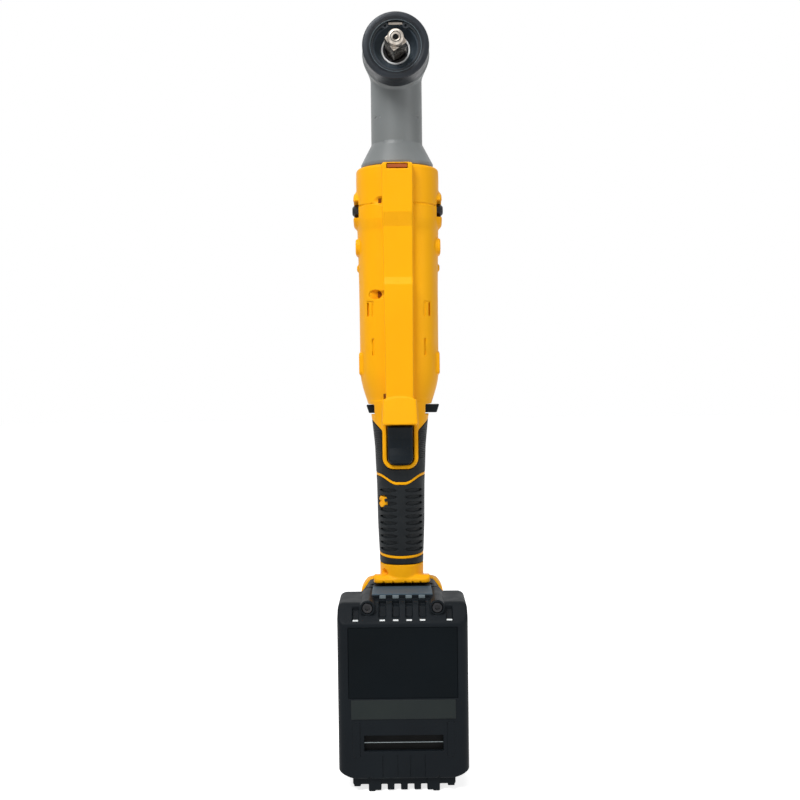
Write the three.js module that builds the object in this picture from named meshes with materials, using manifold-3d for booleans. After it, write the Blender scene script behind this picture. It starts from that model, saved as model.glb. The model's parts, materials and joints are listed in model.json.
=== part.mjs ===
// Cordless angle wrench: a square drive at right angles to a long body, a slim grip
// and a slide-on battery pack.
// Millimetres, +Z along the tool towards its head, -Y towards the drive, the trigger
// and the pack's label side.
// The tool is built round the axis of its grip and motor, and stands on the ribs at the end of its pack.

import * as THREE from 'three';
import { mergeVertices } from 'three/addons/utils/BufferGeometryUtils.js';
import Module from 'manifold-3d';

const wasm = await Module();
wasm.setup();

// Fits
const FIT = 0.3; // gap between two pieces that touch
const SEAM = 0.3; // gap between the two housing halves
const OVERRUN = 3; // how far a cut runs past what it cuts
const WALL = 2.6; // moulded housing wall

// How many flats a round piece has
const ROUND = 28;
const SMALL_ROUND = 16;
const TINY_ROUND = 10;
const HULL_ROUND = 24;
const HEXAGON = 6;
const WIRE_ROUND = 8;
const WIRE_STEPS = 12;
const ACCENT_STEPS = 6;

// Battery cells
const CELL_LENGTH = 65;
const CELL_DIAMETER = 18.2;
const CELLS_IN_ROW = 5;
const CELL_ROWS = 2;
const CELL_STRIP_THICKNESS = 0.6;
const CELL_STRIP_WIDTH = 7;

// Battery pack: a wide box round the cells, and a narrower case with the rails behind it
const PACK_SIDE_WALL = 4.3;
const PACK_FRONT_WALL = 5;
const PACK_WALL = 2.4;
const PACK_FLOOR = 3.2;
const PACK_ROOF = 4.3;
const PACK_SQUARENESS = 9;
const PACK_EDGE = 7; // how far the pack's upper front edge slopes back
const PACK_CORNER = 7; // how far its lower corners are drawn in
const PACK_BACK = 8; // the pack's rail side, behind the grip's axis
const RAIL_CASE_DEPTH = 20.6;
const RAIL_CASE_SHOULDER = 4; // rail case's sides outside the rails
const RAIL_CASE_SLOPE = 4.2; // its upper edges slope in by this much
const PACK_BLOCK_HEIGHT = 5; // rail case's top above the wide box
const PACK_BAR_DROP = 2; // smooth bar ahead of it, below its top
const PACK_BAR_INSET = 2.4; // bar's ends inside the rail case's top
const PACK_BAR_DEPTH = 29;
const END_PANEL_MARGIN = 7.7; // from the pack's sides to the ribbed end panel
const END_PANEL_HEIGHT = 5.4;
const REST_RIB_HEIGHT = 3.9; // the two ribs that the tool stands on
const REST_RIB_MARGIN = 5.2; // their middles inside the rail case's sides
const END_RIB_HEIGHT = 3;
const END_RIB_WIDTH = 4;
const END_RIB_PITCH = 7.8;
const END_RIB_INSET = 3; // ribs stop this far short of the pack's front
const END_RIB_BACK_INSET = 1;
const SIDE_RIB_HEIGHT = 2; // rib at each edge of the end panel
const PACK_SLOT_WIDTH = 4.2;
const PACK_SLOT_PITCH = 7.8;
const PACK_SLOT_COUNT = 4;
const PACK_SLOT_DEPTH = 1.6;
const PACK_SLOT_LENGTH = 7.2; // slots' lower ends below the box's top
const PACK_SLOT_REACH = 19;
const LABEL_MARGIN = 5.8; // from the pack's sides to its label recess
const LABEL_HEIGHT = 42.5;
const LABEL_DEPTH = 0.6;
const LABEL_TOP_MARGIN = 11.8; // from the box's top down to the label recess
const GRILLE_MARGIN = 14.7; // from the pack's sides to the grille
const GRILLE_HEIGHT = 9.6;
const GRILLE_DEPTH = 1.6;
const GRILLE_RISE = 15.4; // grille's lower edge above the box's floor
const PACK_SCREW_MARGIN = 3.6; // screws' centres inside the rail case's sides
const PACK_SCREW_RADIUS = 3;
const PACK_SCREW_DROP = 1.7; // screws' centres below the box's top
const PACK_SCREW_INSET = 4; // screw bosses' faces behind the pack's front
const PACK_SCREW_WALL = 1.3;
const PACK_SCREW_HEAD_HEIGHT = 2;
const PACK_SCREW_SHANK_RADIUS = 1.1;
const PACK_SCREW_LENGTH = 8;
const PACK_BOARD_THICKNESS = 1.6;

// Rails between the pack and the foot
const RAIL_NECK_WIDTH = 32;
const RAIL_HEAD_WIDTH = 40;
const RAIL_NECK_DEPTH = 3;
const RAIL_HEAD_DEPTH = 3.4;
const RAIL_BOTTOM = 7; // rail's lower end above the shell's lower end
const RAIL_END_MARGIN = 17; // rails' upper end below the box's top
const TERMINAL_HEIGHT = 12;
const BLADE_LENGTH = 9;
const BLADE_THICKNESS = 1;
const BLADE_DEPTH = 1.6;
const BLADE_PITCH = 8;
const BLADE_COUNT = 4;

// Pack latch
const LATCH_WIDTH = 18;
const LATCH_HOOK_HEIGHT = 9.4;
const LATCH_HOOK_RISE = 2.6; // how far the hook stands behind the rails, under the foot
const LATCH_TRAVEL = 3.5;
const LATCH_BUTTON_HEIGHT = 14;
const LATCH_BUTTON_DEPTH = 6;
const LATCH_BUTTON_RECESS = 1.6; // button face below the pack's rail side
const LATCH_STEM_DEPTH = 12;

// Foot
const FOOT_SIDE_WALL = 6.1; // foot's sides outside the rail channel
const FOOT_SHOULDER = 8.4; // rounding of its upper corners
const FOOT_DEPTH = 14;
const FOOT_FLANGE_THICKNESS = 4.7;
const FLANGE_WIDTH = 34.2;
const FLANGE_SQUARENESS = 4;
const FLANGE_TOP_SHARE = 0.97; // its upper edge is drawn in to this share of the lower one
const FLANGE_REACH = 16.2; // flange's front edge, ahead of the grip's axis

// Grip and trigger
const STUB_HEIGHT = 6.7;
const GRIP_BELOW_TRIGGER = 62;
const GRIP_WIDTH = 29.4;
const GRIP_FRONT = 17.6;
const GRIP_BACK = 18.4;
const GRIP_THICKNESS = 1.8;
const GRIP_END_GAP = 1.2; // rubber's upper end below the selector
const GRIP_GROOVE_WIDTH = 1.6;
const GRIP_GROOVE_DEPTH = 0.9;
const ACCENT_BEND_SHARE = 0.8; // where the upper groove turns level, of the grip's half width
const GRIP_GROOVE_RISE = 4.6; // lower accent groove above the grip's end
const UPPER_GROOVE_DROP = 11.8; // upper accent groove's low middle below the trigger
const UPPER_GROOVE_SWEEP = 5.6; // how far it climbs to the grip's sides
const TRIGGER_WIDTH = 15.2;
const TRIGGER_HEIGHT = 23.7;
const TRIGGER_SIDE_GAP = 0.8;
const TRIGGER_CORNER_SHARE = 0.6; // rounding of its lower corners, of its half width
const TRIGGER_REACH = 24.6; // trigger's lip ahead of the grip's axis
const TRIGGER_HOLLOW = 2.4; // how far its face is hollowed
const TRIGGER_THICKNESS = 8;
const TRIGGER_TRAVEL = 5.5;
const TRIGGER_END_GAP = 0.9; // left between the pulled trigger and the switch
const PLUNGER_RADIUS = 2.4;
const PLUNGER_ENGAGEMENT = 1.5;
const FRAME_BORDER = 2.5;
const FRAME_PROUD = 1.2; // trigger frame's face ahead of the rubber
const YOKE_DROP = 9; // the yellow yoke's slope from the grip's sides to the frame
const YOKE_REACH_SHARE = 0.6; // of the grip's width, where that slope starts
const SWITCH_BACK_SHARE = 0.68; // of the hollow behind the grip's axis
const WIRE_RADIUS = 1.3;
const WIRE_SPACING = 8;

// Direction selector
const HOOD_LIP = 7.4; // from the trigger's top to the selector
const SELECTOR_LENGTH = 45.4;
const SELECTOR_HEIGHT = 5;
const SELECTOR_DEPTH = 8;
const SELECTOR_TAPER = 1.6; // its ends are this much shorter below
const SELECTOR_TRAVEL = 3.6;
const SELECTOR_MARGIN = 1.2;

// Body
const BODY_SIDE_WALL = 2.5; // body's flanks outside the gear case's bore
const BODY_FRONT_WALL = 2;
const BODY_BACK_WALL = 3;
const BODY_TAPER = 18; // from the selector up to where the body has its full width
const SPINE_WIDTH = 18;
const SPINE_RISE = 5; // ridge ahead of the body's front
const HOOD_WIDTH = 20.6;
const HOOD_GAP = 1.5; // hood's lower edge above the trigger
const HOOD_HEIGHT = 15.4;
const HOOD_RISE = 9.6;
const HOOD_LIP_CHAMFER = 1.4;
const SPINE_STEP = 1.9;
const PAD_HEIGHT = 10;
const PAD_DEPTH = 13;
const PAD_RISE = 1.3;
const SMALL_PAD_HEIGHT = 5;
const STRIP_HEIGHT = 14.3;
const STRIP_RISE = 0.5;
const VENT_WIDTH = 1.4;

// Motor
const MOTOR_BORE_STEP = 2; // motor's bore inside the gear case's
const MOTOR_LENGTH = 41;
const STATOR_INNER_RADIUS = 11.4;
const STATOR_SLOTS = 6;
const STATOR_SLOT_WIDTH = 5;
const STATOR_SLOT_DEPTH = 4;
const AIR_GAP = 0.5;
const ROTOR_SHAFT_RADIUS = 2.5;
const FAN_THICKNESS = 9;
const FAN_BLADES = 9;
const FAN_BLADE_THICKNESS = 1.6;
const FAN_DISC_THICKNESS = 1.6;
const FAN_HUB_RADIUS = 5.5;
const FAN_MARGIN = 1.5; // fan's rim inside the motor's bore
const MOTOR_GAP = 1.1;
const MOTOR_BEARING_RADIUS = 8;
const MOTOR_BEARING_THICKNESS = 5;
const CONTROLLER_HEIGHT = 30;
const CONTROLLER_WIDTH = 33;
const PLATE_THICKNESS = 7;

// Planetary gears
const CASE_BORE_RADIUS = 22; // housing's bore for the gear case
const CASE_WALL = 2.3;
const RING_WALL = 2.2;
const SUN_TEETH = 12;
const PLANET_TEETH = 15;
const RING_TEETH = 42;
const PLANET_COUNT = 3;
const TOOTH_DEPTH = 1.1;
const FIRST_STAGE_FACE = 9;
const SECOND_STAGE_FACE = 12;
const CARRIER_THICKNESS = 4;
const CARRIER_RIM = 3.4; // carrier's rim outside its planet pins
const PLANET_PIN_RADIUS = 1.7;
const CHAMBER_LIP = 1.8; // from the gear chamber's roof to the housing's mouth

// Gear case, neck and head
const FLARE_LIP = 0.3; // flare's rim outside the gear case's bore
const FLARE_RIM = 2.2;
const FLARE_HEIGHT = 12.5;
const NECK_LENGTH = 52.1; // from the flare to the drive's axis
const NECK_RADIUS = 15.6;
const NECK_RIDGE = 0.5;
const NECK_RIDGE_HEIGHT = 1.6;
const HEAD_RADIUS = 20.5;
const HEAD_BACK_RADIUS = 17.2; // head narrows towards its back
const HEAD_LIP = 0.6; // head barrel's mouth ahead of the neck
const HEAD_WALL = 4;
const HEAD_CHAMFER = 2;
const DRIVE_SHAFT_RADIUS = 5;
const SHAFT_BEARING_RADIUS = 11;
const SHAFT_BEARING_THICKNESS = 6;
const CARRIER_HUB_HEIGHT = 5;
const CARRIER_HUB_WALL = 2.2;

// Bevel gears
const BEVEL_PINION_TEETH = 12;
const BEVEL_GEAR_TEETH = 20;
const BEVEL_GEAR_RADIUS = 12.5;
const BEVEL_FACE_SHARE = 0.35;
const BEVEL_HUB_THICKNESS = 3;
const HEAD_BORE_MARGIN = 1.6;

// Square drive
const DRIVE_SQUARE = 9.525; // three eighths of an inch across the flats
const DRIVE_TURN = 34.3; // degrees that the square is turned at rest
const DRIVE_REACH = 17; // square's end ahead of the nose cap
const DRIVE_CORNER = 0.7;
const DRIVE_HOLE_RADIUS = 1.3;
const DRIVE_HOLE_DEPTH = 5;
const DRIVE_NOSE_RADIUS = 4.3;
const ANVIL_RADIUS = 6.7;
const ANVIL_TAIL_RADIUS = 5;
const RING_GROOVE_FROM_TIP = 1.2;
const RING_GROOVE_WIDTH = 2;
const RING_GROOVE_RADIUS = 3.5;
const FRICTION_RING_RADIUS = 4.7;
const RING_GAP_ANGLE = 40; // degrees open in a split ring

// Nose cap and what sits in it
const CAP_RADIUS = 19.8;
const CAP_LENGTH = 18.2;
const CAP_RECESS_RADIUS = 15.2;
const CAP_RECESS_DEPTH = 4.4;
const CAP_RIM_CHAMFER = 1.6;
const CAP_WELL_RADIUS = 12.6;
const CAP_WELL_DEPTH = 11.5;
const BUSH_WALL = 1.5;
const BUSH_PROUD = 0.6; // bush ahead of the well's floor
const CIRCLIP_WIDTH = 2.4;
const CIRCLIP_THICKNESS = 1.2;
const CIRCLIP_GROOVE = 0.7;
const CIRCLIP_DEPTH = 2.2; // ring's face behind the cap's rim
const CIRCLIP_LUG_RADIUS = 1.7;
const CIRCLIP_LUG_HOLE = 0.6;
const LUG_ANGLE = 8; // degrees from the ring's ends to its lugs
const NOSE_BEARING_RADIUS = 12;
const NOSE_BEARING_THICKNESS = 6;
const TAIL_BEARING_RADIUS = 9;
const TAIL_BEARING_THICKNESS = 5;

// Light
const LIGHT_WIDTH = 12.6;
const LIGHT_HEIGHT = 2.8;
const LIGHT_MARGIN = 1; // wall above the light's window
const LIGHT_LENS_DEPTH = 2.4;
const LIGHT_BOARD_DEPTH = 1.2;
const LIGHT_RECESS = 0.8;

// Fasteners
const BOLT_RADIUS = 4.2;
const BOLT_HEAD_HEIGHT = 3.8;
const BOLT_SOCKET = 1.4;
const BOLT_SHANK_RADIUS = 2;
const BOLT_ABOVE_PLATE = 7; // side bolts above the gear case's lower end
const BOSS_RADIUS = 11.8;
const BOSS_RISE = 2.8;
const BOSS_CHAMFER = 2.4;
const BOLT_SEAT = 1; // bolt's seat below the body's side
const SCREW_HEAD_RADIUS = 2.9;
const SCREW_HEAD_HEIGHT = 2.4;
const SCREW_SHANK_RADIUS = 1.5;
const SCREW_SHANK_LENGTH = 12;
const SCREW_RECESS = 0.5;
const BOSS_WALL = 1.2;
const GRIP_SCREW_BORDER = 1.4; // yellow seen round the grip's screw

// Where each piece starts along the tool, worked out upwards from the ribs that it stands on
const SHELL_BOTTOM = REST_RIB_HEIGHT + END_PANEL_HEIGHT;
const CELL_PITCH = CELL_DIAMETER + FIT;
const CELLS_BOTTOM = SHELL_BOTTOM + PACK_FLOOR;
const CELLS_TOP = CELLS_BOTTOM + CELL_PITCH * CELLS_IN_ROW;
const SHELL_TOP = CELLS_TOP + PACK_ROOF;
const PACK_TOP = SHELL_TOP + PACK_BLOCK_HEIGHT;
const FLANGE_BOTTOM = PACK_TOP + FIT;
const FLANGE_TOP = FLANGE_BOTTOM + FOOT_FLANGE_THICKNESS;
const GRIP_BOTTOM = FLANGE_TOP + STUB_HEIGHT;
const TRIGGER_BOTTOM = GRIP_BOTTOM + GRIP_BELOW_TRIGGER;
const TRIGGER_TOP = TRIGGER_BOTTOM + TRIGGER_HEIGHT;
const SELECTOR_BOTTOM = TRIGGER_TOP + HOOD_LIP;
const SELECTOR_TOP = SELECTOR_BOTTOM + SELECTOR_HEIGHT;
const BODY_BOTTOM = SELECTOR_TOP + SELECTOR_MARGIN;
const CONTROLLER_BOTTOM = BODY_BOTTOM + BODY_TAPER;
const CONTROLLER_TOP = CONTROLLER_BOTTOM + CONTROLLER_HEIGHT;
const WEB_BOTTOM = CONTROLLER_TOP + FIT;
const WEB_TOP = WEB_BOTTOM + MOTOR_BEARING_THICKNESS;
const FAN_BOTTOM = WEB_TOP + FIT;
const FAN_TOP = FAN_BOTTOM + FAN_THICKNESS;
const MOTOR_BOTTOM = FAN_TOP + MOTOR_GAP;
const MOTOR_TOP = MOTOR_BOTTOM + MOTOR_LENGTH;
const PLATE_BOTTOM = MOTOR_TOP + FIT;
const PLATE_TOP = PLATE_BOTTOM + PLATE_THICKNESS;
const CHAMBER_BOTTOM = PLATE_TOP + FIT;
const FIRST_PLANETS = CHAMBER_BOTTOM + FIT;
const FIRST_CARRIER = FIRST_PLANETS + FIRST_STAGE_FACE + FIT;
const SECOND_PLANETS = FIRST_CARRIER + CARRIER_THICKNESS + FIT;
const SECOND_CARRIER = SECOND_PLANETS + SECOND_STAGE_FACE + FIT;
const CHAMBER_TOP = SECOND_CARRIER + CARRIER_THICKNESS + FIT;
const BODY_TOP = CHAMBER_TOP + CHAMBER_LIP;
const BODY_LENGTH = BODY_TOP - BODY_BOTTOM;
const FLARE_BOTTOM = BODY_TOP + FIT;
const FLARE_TOP = FLARE_BOTTOM + FLARE_RIM + FLARE_HEIGHT;
const DRIVE_HEIGHT = FLARE_TOP + NECK_LENGTH;
const HANDLE_LENGTH = BODY_BOTTOM - FLANGE_BOTTOM;

// Depths along Y, worked out from the same values
const BOX_DEPTH = PACK_FRONT_WALL + CELL_PITCH * CELL_ROWS + PACK_WALL;
const BOX_BACK = PACK_BACK - RAIL_CASE_DEPTH;
const PACK_FRONT = BOX_BACK - BOX_DEPTH;
const CELLS_FRONT = PACK_FRONT + PACK_FRONT_WALL;
const CELLS_BACK = BOX_BACK - PACK_WALL;
const FOOT_FRONT = PACK_BACK + FIT;
const FOOT_BACK = FOOT_FRONT + FOOT_DEPTH;
const BODY_FRONT = CASE_BORE_RADIUS + BODY_FRONT_WALL;
const BODY_BACK = CASE_BORE_RADIUS + BODY_BACK_WALL;
const SPINE_FRONT = -(BODY_FRONT + SPINE_RISE);
const HEAD_MOUTH = -(NECK_RADIUS + HEAD_LIP);
const CAP_BACK = HEAD_MOUTH - FIT;
const CAP_FRONT = CAP_BACK - CAP_LENGTH;
const DRIVE_TIP = CAP_FRONT - DRIVE_REACH;

// Finishes
const FINISHES = {
  red: { color: 0xb02a22, roughness: 0.6, metalness: 0 },
  yellow: { color: 0xfcb514, roughness: 0.45, metalness: 0 },
  rubber: { color: 0x1e2022, roughness: 0.8, metalness: 0 },
  casting: { color: 0x767b78, roughness: 0.5, metalness: 0.4 },
  cap: { color: 0x2a2f38, roughness: 0.4, metalness: 0.2 },
  steel: { color: 0xa8a29a, roughness: 0.3, metalness: 1 },
  blackSteel: { color: 0x24262a, roughness: 0.35, metalness: 0.9 },
  slate: { color: 0x2a3036, roughness: 0.5, metalness: 0 },
  packBlack: { color: 0x24282b, roughness: 0.55, metalness: 0 },
  copper: { color: 0xb87333, roughness: 0.4, metalness: 1 },
  bronze: { color: 0xb08d57, roughness: 0.4, metalness: 1 },
  board: { color: 0x1f6b3a, roughness: 0.6, metalness: 0 },
  cell: { color: 0x3f7fb5, roughness: 0.5, metalness: 0 },
  lens: { color: 0xc9702a, roughness: 0.2, metalness: 0 },
};

// Turning three.js shapes into solids and back

// A closed solid from a geometry, facing out whichever way its faces were wound.
function solidOf(geometry) {
  const bare = geometry.index ? geometry.clone() : geometry;
  bare.deleteAttribute('normal');
  bare.deleteAttribute('uv');
  const merged = mergeVertices(bare);
  const position = merged.attributes.position;
  const corner = (index) => new THREE.Vector3().fromBufferAttribute(position, index);
  const kept = [];
  let volume = 0;
  for (let start = 0; start < merged.index.count; start += 3) {
    const [a, b, c] = [0, 1, 2].map((step) => merged.index.getX(start + step));
    if (a === b || b === c || c === a) continue;
    kept.push([a, b, c]);
    volume += corner(a).dot(corner(b).cross(corner(c)));
  }
  const triVerts = new Uint32Array(kept.flatMap(([a, b, c]) => (volume < 0 ? [a, c, b] : [a, b, c])));
  const vertProperties = new Float32Array(position.array);
  return new wasm.Manifold(new wasm.Mesh({ numProp: 3, vertProperties, triVerts }));
}

// A box from its range along each axis.
function block([x0, x1], [y0, y1], [z0, z1]) {
  const geometry = new THREE.BoxGeometry(x1 - x0, y1 - y0, z1 - z0);
  return solidOf(geometry.translate((x0 + x1) / 2, (y0 + y1) / 2, (z0 + z1) / 2));
}

// Lays a shape that was made round or along +Y over to another axis, and moves it there.
function laid(geometry, axis, [x, y, z]) {
  if (axis === 'x') geometry.rotateZ(-Math.PI / 2);
  if (axis === 'z') geometry.rotateX(Math.PI / 2);
  return solidOf(geometry.translate(x, y, z));
}

// A round rod or cone along an axis; across gives its centre on the other two axes, in order.
function rod(axis, radius, [from, to], across = [0, 0], sides = ROUND, endRadius = radius) {
  const geometry = new THREE.CylinderGeometry(endRadius, radius, to - from, sides);
  const middle = (from + to) / 2;
  const [p, q] = across;
  const centre = { x: [middle, p, q], y: [p, middle, q], z: [p, q, middle] }[axis];
  return laid(geometry, axis, centre);
}

// A ring or tube along an axis.
function tube(axis, radius, inner, [from, to], across = [0, 0], sides = ROUND) {
  const bore = rod(axis, inner, [from - OVERRUN, to + OVERRUN], across, sides);
  return rod(axis, radius, [from, to], across, sides).subtract(bore);
}

// A flat outline drawn in the plane across an axis and drawn out along it.
function drawn(axis, outline, [from, to]) {
  const shape = new THREE.Shape(outline.map(([p, q]) => new THREE.Vector2(p, q)));
  const geometry = new THREE.ExtrudeGeometry(shape, { depth: to - from, bevelEnabled: false });
  const basis = new THREE.Matrix4();
  const [X, Y, Z] = [new THREE.Vector3(1, 0, 0), new THREE.Vector3(0, 1, 0), new THREE.Vector3(0, 0, 1)];
  if (axis === 'x') basis.makeBasis(Y, Z, X).setPosition(from, 0, 0);
  if (axis === 'y') basis.makeBasis(X, Z, Y).setPosition(0, from, 0);
  if (axis === 'z') basis.makeBasis(X, Y, Z).setPosition(0, 0, from);
  return solidOf(geometry.applyMatrix4(basis));
}

// A solid through closed rings of equally many points, one above the other.
function lofted(rings) {
  const count = rings[0].length;
  const middles = [rings[0], rings.at(-1)].map((ring) => {
    const sum = ring.reduce((total, point) => total.map((value, axis) => value + point[axis]), [0, 0, 0]);
    return sum.map((value) => value / count);
  });
  const positions = [...rings.flat(), ...middles].flat();
  const foot = rings.length * count;
  const top = foot + 1;
  const index = [];
  for (let step = 0; step < count; step += 1) {
    const next = (step + 1) % count;
    for (let level = 0; level + 1 < rings.length; level += 1) {
      const [low, high] = [level * count, (level + 1) * count];
      index.push(low + step, low + next, high + next, low + step, high + next, high + step);
    }
    const last = (rings.length - 1) * count;
    index.push(foot, next, step, top, last + step, last + next);
  }
  const geometry = new THREE.BufferGeometry();
  geometry.setAttribute('position', new THREE.Float32BufferAttribute(positions, 3));
  geometry.setIndex(index);
  return solidOf(geometry);
}

// One level of a hull: an oval that squareness makes boxier, drawn in by inset.
function hullRing({ z, half, front, back, squareness }, inset = 0, points = HULL_ROUND) {
  const bulge = (value) => Math.sign(value) * Math.abs(value) ** (2 / squareness);
  return Array.from({ length: points }, (_, step) => {
    const angle = (2 * Math.PI * step) / points;
    const depth = Math.sin(angle) < 0 ? front : back;
    return [(half - inset) * bulge(Math.cos(angle)), (depth - inset) * bulge(Math.sin(angle)), z];
  });
}

const hull = (levels, inset = 0) => lofted(levels.map((level) => hullRing(level, inset)));

// A solid's values between two levels of a hull.
function levelAt(levels, z) {
  const above = Math.max(1, levels.findIndex((level) => level.z >= z));
  const [low, high] = [levels[above - 1], levels[above]];
  const share = (z - low.z) / (high.z - low.z);
  const mix = (key) => low[key] + (high[key] - low[key]) * share;
  return { z, half: mix('half'), front: mix('front'), back: mix('back'), squareness: mix('squareness') };
}

// The part of a hull between two heights.
function hullBetween(levels, bottom, top, inset = 0) {
  const inside = levels.filter((level) => level.z > bottom && level.z < top);
  return hull([levelAt(levels, bottom), ...inside, levelAt(levels, top)], inset);
}

const tool = new THREE.Group();

// Adds a solid to the tool as a named mesh with its own material.
function place(name, solid, finish) {
  const { vertProperties, triVerts } = solid.getMesh();
  const geometry = new THREE.BufferGeometry();
  geometry.setAttribute('position', new THREE.BufferAttribute(new Float32Array(vertProperties), 3));
  geometry.setIndex(new THREE.BufferAttribute(new Uint32Array(triVerts), 1));
  geometry.computeVertexNormals();
  const mesh = new THREE.Mesh(geometry, new THREE.MeshStandardMaterial(FINISHES[finish]));
  mesh.name = name;
  tool.add(mesh);
}

// Widths from the middle plane, worked out from the same values
const BODY_SIDE = CASE_BORE_RADIUS + BODY_SIDE_WALL;
const MOTOR_BORE_RADIUS = CASE_BORE_RADIUS - MOTOR_BORE_STEP;
const FLARE_RADIUS = CASE_BORE_RADIUS + FLARE_LIP;
const CELLS_HALF = CELL_LENGTH / 2 + CELL_STRIP_THICKNESS + FIT;
const PACK_HALF = CELLS_HALF + PACK_SIDE_WALL;
const RAIL_CASE_HALF = RAIL_HEAD_WIDTH / 2 + RAIL_CASE_SHOULDER;

// Outlines of the housing

// Share of the body's length, half width, front, back, and squareness, from the selector to the mouth.
const BODY_SHARES = [
  [0, 0.8, 0.84, 0.8, 2.2],
  [0.022, 0.845, 0.87, 0.83, 2.3],
  [0.12, 1, 0.97, 0.97, 2.5],
  [0.25, 0.996, 1, 1, 2.6],
  [0.49, 1, 1, 1, 2.6],
  [0.74, 1.029, 1, 1, 2.4],
  [0.79, 1.029, 1.05, 1, 2.2],
  [0.95, 1.045, 1.05, 1.01, 2.1],
  [0.985, 1.035, 1.04, 1, 2],
  [1, 0.97, 0.99, 0.95, 2],
];
const bodyLevels = BODY_SHARES.map(([length, half, front, back, squareness]) => ({
  z: BODY_BOTTOM + BODY_LENGTH * length,
  half: BODY_SIDE * half,
  front: BODY_FRONT * front,
  back: BODY_BACK * back,
  squareness,
}));

// Share of the handle's length, half width, front, back, and squareness, from the foot to the selector.
const HANDLE_SHARES = [
  [0, 0.925, 0.9, 0.9, 2.3],
  [0.15, 0.93, 0.92, 0.92, 2.3],
  [0.24, 0.96, 0.94, 0.95, 2.3],
  [0.35, 0.993, 0.97, 0.98, 2.3],
  [0.46, 1, 1, 1, 2.3],
  [0.57, 1.017, 1, 1, 2.3],
  [0.66, 1.051, 1, 1, 2.3],
  [0.77, 1.075, 1.02, 1, 2.3],
  [0.85, 1.139, 1.05, 1.03, 2.3],
  [0.925, 1.2, 1.1, 1.06, 2.3],
  [1, 1.333, 1.15, 1.09, 2.2],
];
const handleLevels = HANDLE_SHARES.map(([length, half, front, back, squareness]) => ({
  z: FLANGE_BOTTOM + HANDLE_LENGTH * length,
  half: (GRIP_WIDTH / 2) * half,
  front: GRIP_FRONT * front,
  back: GRIP_BACK * back,
  squareness,
}));

// Places and sizes that several pieces share

const GRIP_TOP = SELECTOR_BOTTOM - GRIP_END_GAP;
const CORE_INSET = GRIP_THICKNESS + FIT;
const HANDLE_CAVITY_INSET = CORE_INSET + WALL;
const TRIGGER_HALF = TRIGGER_WIDTH / 2;
const TRIGGER_HOLE_HALF = TRIGGER_HALF + TRIGGER_SIDE_GAP;
const FRAME_HALF = TRIGGER_HOLE_HALF + FRAME_BORDER;
const FRAME_BOTTOM = TRIGGER_BOTTOM - FIT - FRAME_BORDER;
const FRAME_FRONT = -(GRIP_FRONT + FRAME_PROUD);
const TRIGGER_BACK = TRIGGER_THICKNESS - TRIGGER_REACH;
const SWITCH_FRONT = TRIGGER_BACK + TRIGGER_TRAVEL + TRIGGER_END_GAP;
const SWITCH_HALF = TRIGGER_HOLE_HALF - FIT;
const TRIGGER_MIDDLE = (TRIGGER_BOTTOM + TRIGGER_TOP) / 2;
const SWITCH_BACK = (levelAt(handleLevels, TRIGGER_MIDDLE).back - HANDLE_CAVITY_INSET) * SWITCH_BACK_SHARE;
const RAIL_START = SHELL_BOTTOM + RAIL_BOTTOM;
const RAIL_TOP = SHELL_TOP - RAIL_END_MARGIN;
const RAIL_NECK_BACK = PACK_BACK + RAIL_NECK_DEPTH;
const RAIL_BACK = RAIL_NECK_BACK + RAIL_HEAD_DEPTH;
const TERMINAL_BOTTOM = RAIL_TOP + FIT;
const TERMINAL_TOP = TERMINAL_BOTTOM + TERMINAL_HEIGHT;
const LATCH_BOTTOM = RAIL_START + LATCH_HOOK_HEIGHT / 2;
const LATCH_TOP = LATCH_BOTTOM + LATCH_HOOK_HEIGHT;
const FOOT_BOTTOM = LATCH_TOP + FIT;
const BOLT_HEIGHT = CHAMBER_BOTTOM + BOLT_ABOVE_PLATE;
const CASE_RADIUS = CASE_BORE_RADIUS - FIT;
const CHAMBER_RADIUS = CASE_RADIUS - CASE_WALL;
const RING_RADIUS = CHAMBER_RADIUS - FIT;
const RING_PITCH_RADIUS = RING_RADIUS - RING_WALL - TOOTH_DEPTH;
const SUN_PITCH_RADIUS = (RING_PITCH_RADIUS * SUN_TEETH) / RING_TEETH;
const PLANET_PITCH_RADIUS = (RING_PITCH_RADIUS * PLANET_TEETH) / RING_TEETH;
const PLANET_ORBIT = SUN_PITCH_RADIUS + PLANET_PITCH_RADIUS;
const BEVEL_PINION_RADIUS = (BEVEL_GEAR_RADIUS * BEVEL_PINION_TEETH) / BEVEL_GEAR_TEETH;
const BEVEL_HUB_BACK = BEVEL_PINION_RADIUS + BEVEL_HUB_THICKNESS;
const TAIL_BEARING_FRONT = BEVEL_HUB_BACK + FIT;
const TAIL_BEARING_BACK = TAIL_BEARING_FRONT + TAIL_BEARING_THICKNESS;
const HEAD_BACK = TAIL_BEARING_BACK + FIT + HEAD_WALL;
const HEAD_BORE_RADIUS = BEVEL_GEAR_RADIUS + HEAD_BORE_MARGIN;
const SPIGOT_END = -(BEVEL_PINION_RADIUS + HEAD_BORE_MARGIN);
const NOSE_BEARING_FRONT = SPIGOT_END - NOSE_BEARING_THICKNESS;
const CAP_FLOOR = CAP_FRONT + CAP_WELL_DEPTH;
const BUSH_INNER_RADIUS = ANVIL_RADIUS + FIT;
const BUSH_RADIUS = BUSH_INNER_RADIUS + BUSH_WALL;
const PINION_BOTTOM = DRIVE_HEIGHT - BEVEL_GEAR_RADIUS;
const UPPER_BEARING_TOP = DRIVE_HEIGHT - HEAD_BORE_RADIUS - FIT;
const HUB_TOP = SECOND_CARRIER + CARRIER_THICKNESS + CARRIER_HUB_HEIGHT;
const LIGHT_FACE = SPINE_FRONT - SPINE_STEP / 2;
const LIGHT_LENS_FRONT = LIGHT_FACE + LIGHT_RECESS;
const LIGHT_LENS_BACK = LIGHT_LENS_FRONT + LIGHT_LENS_DEPTH;
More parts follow.
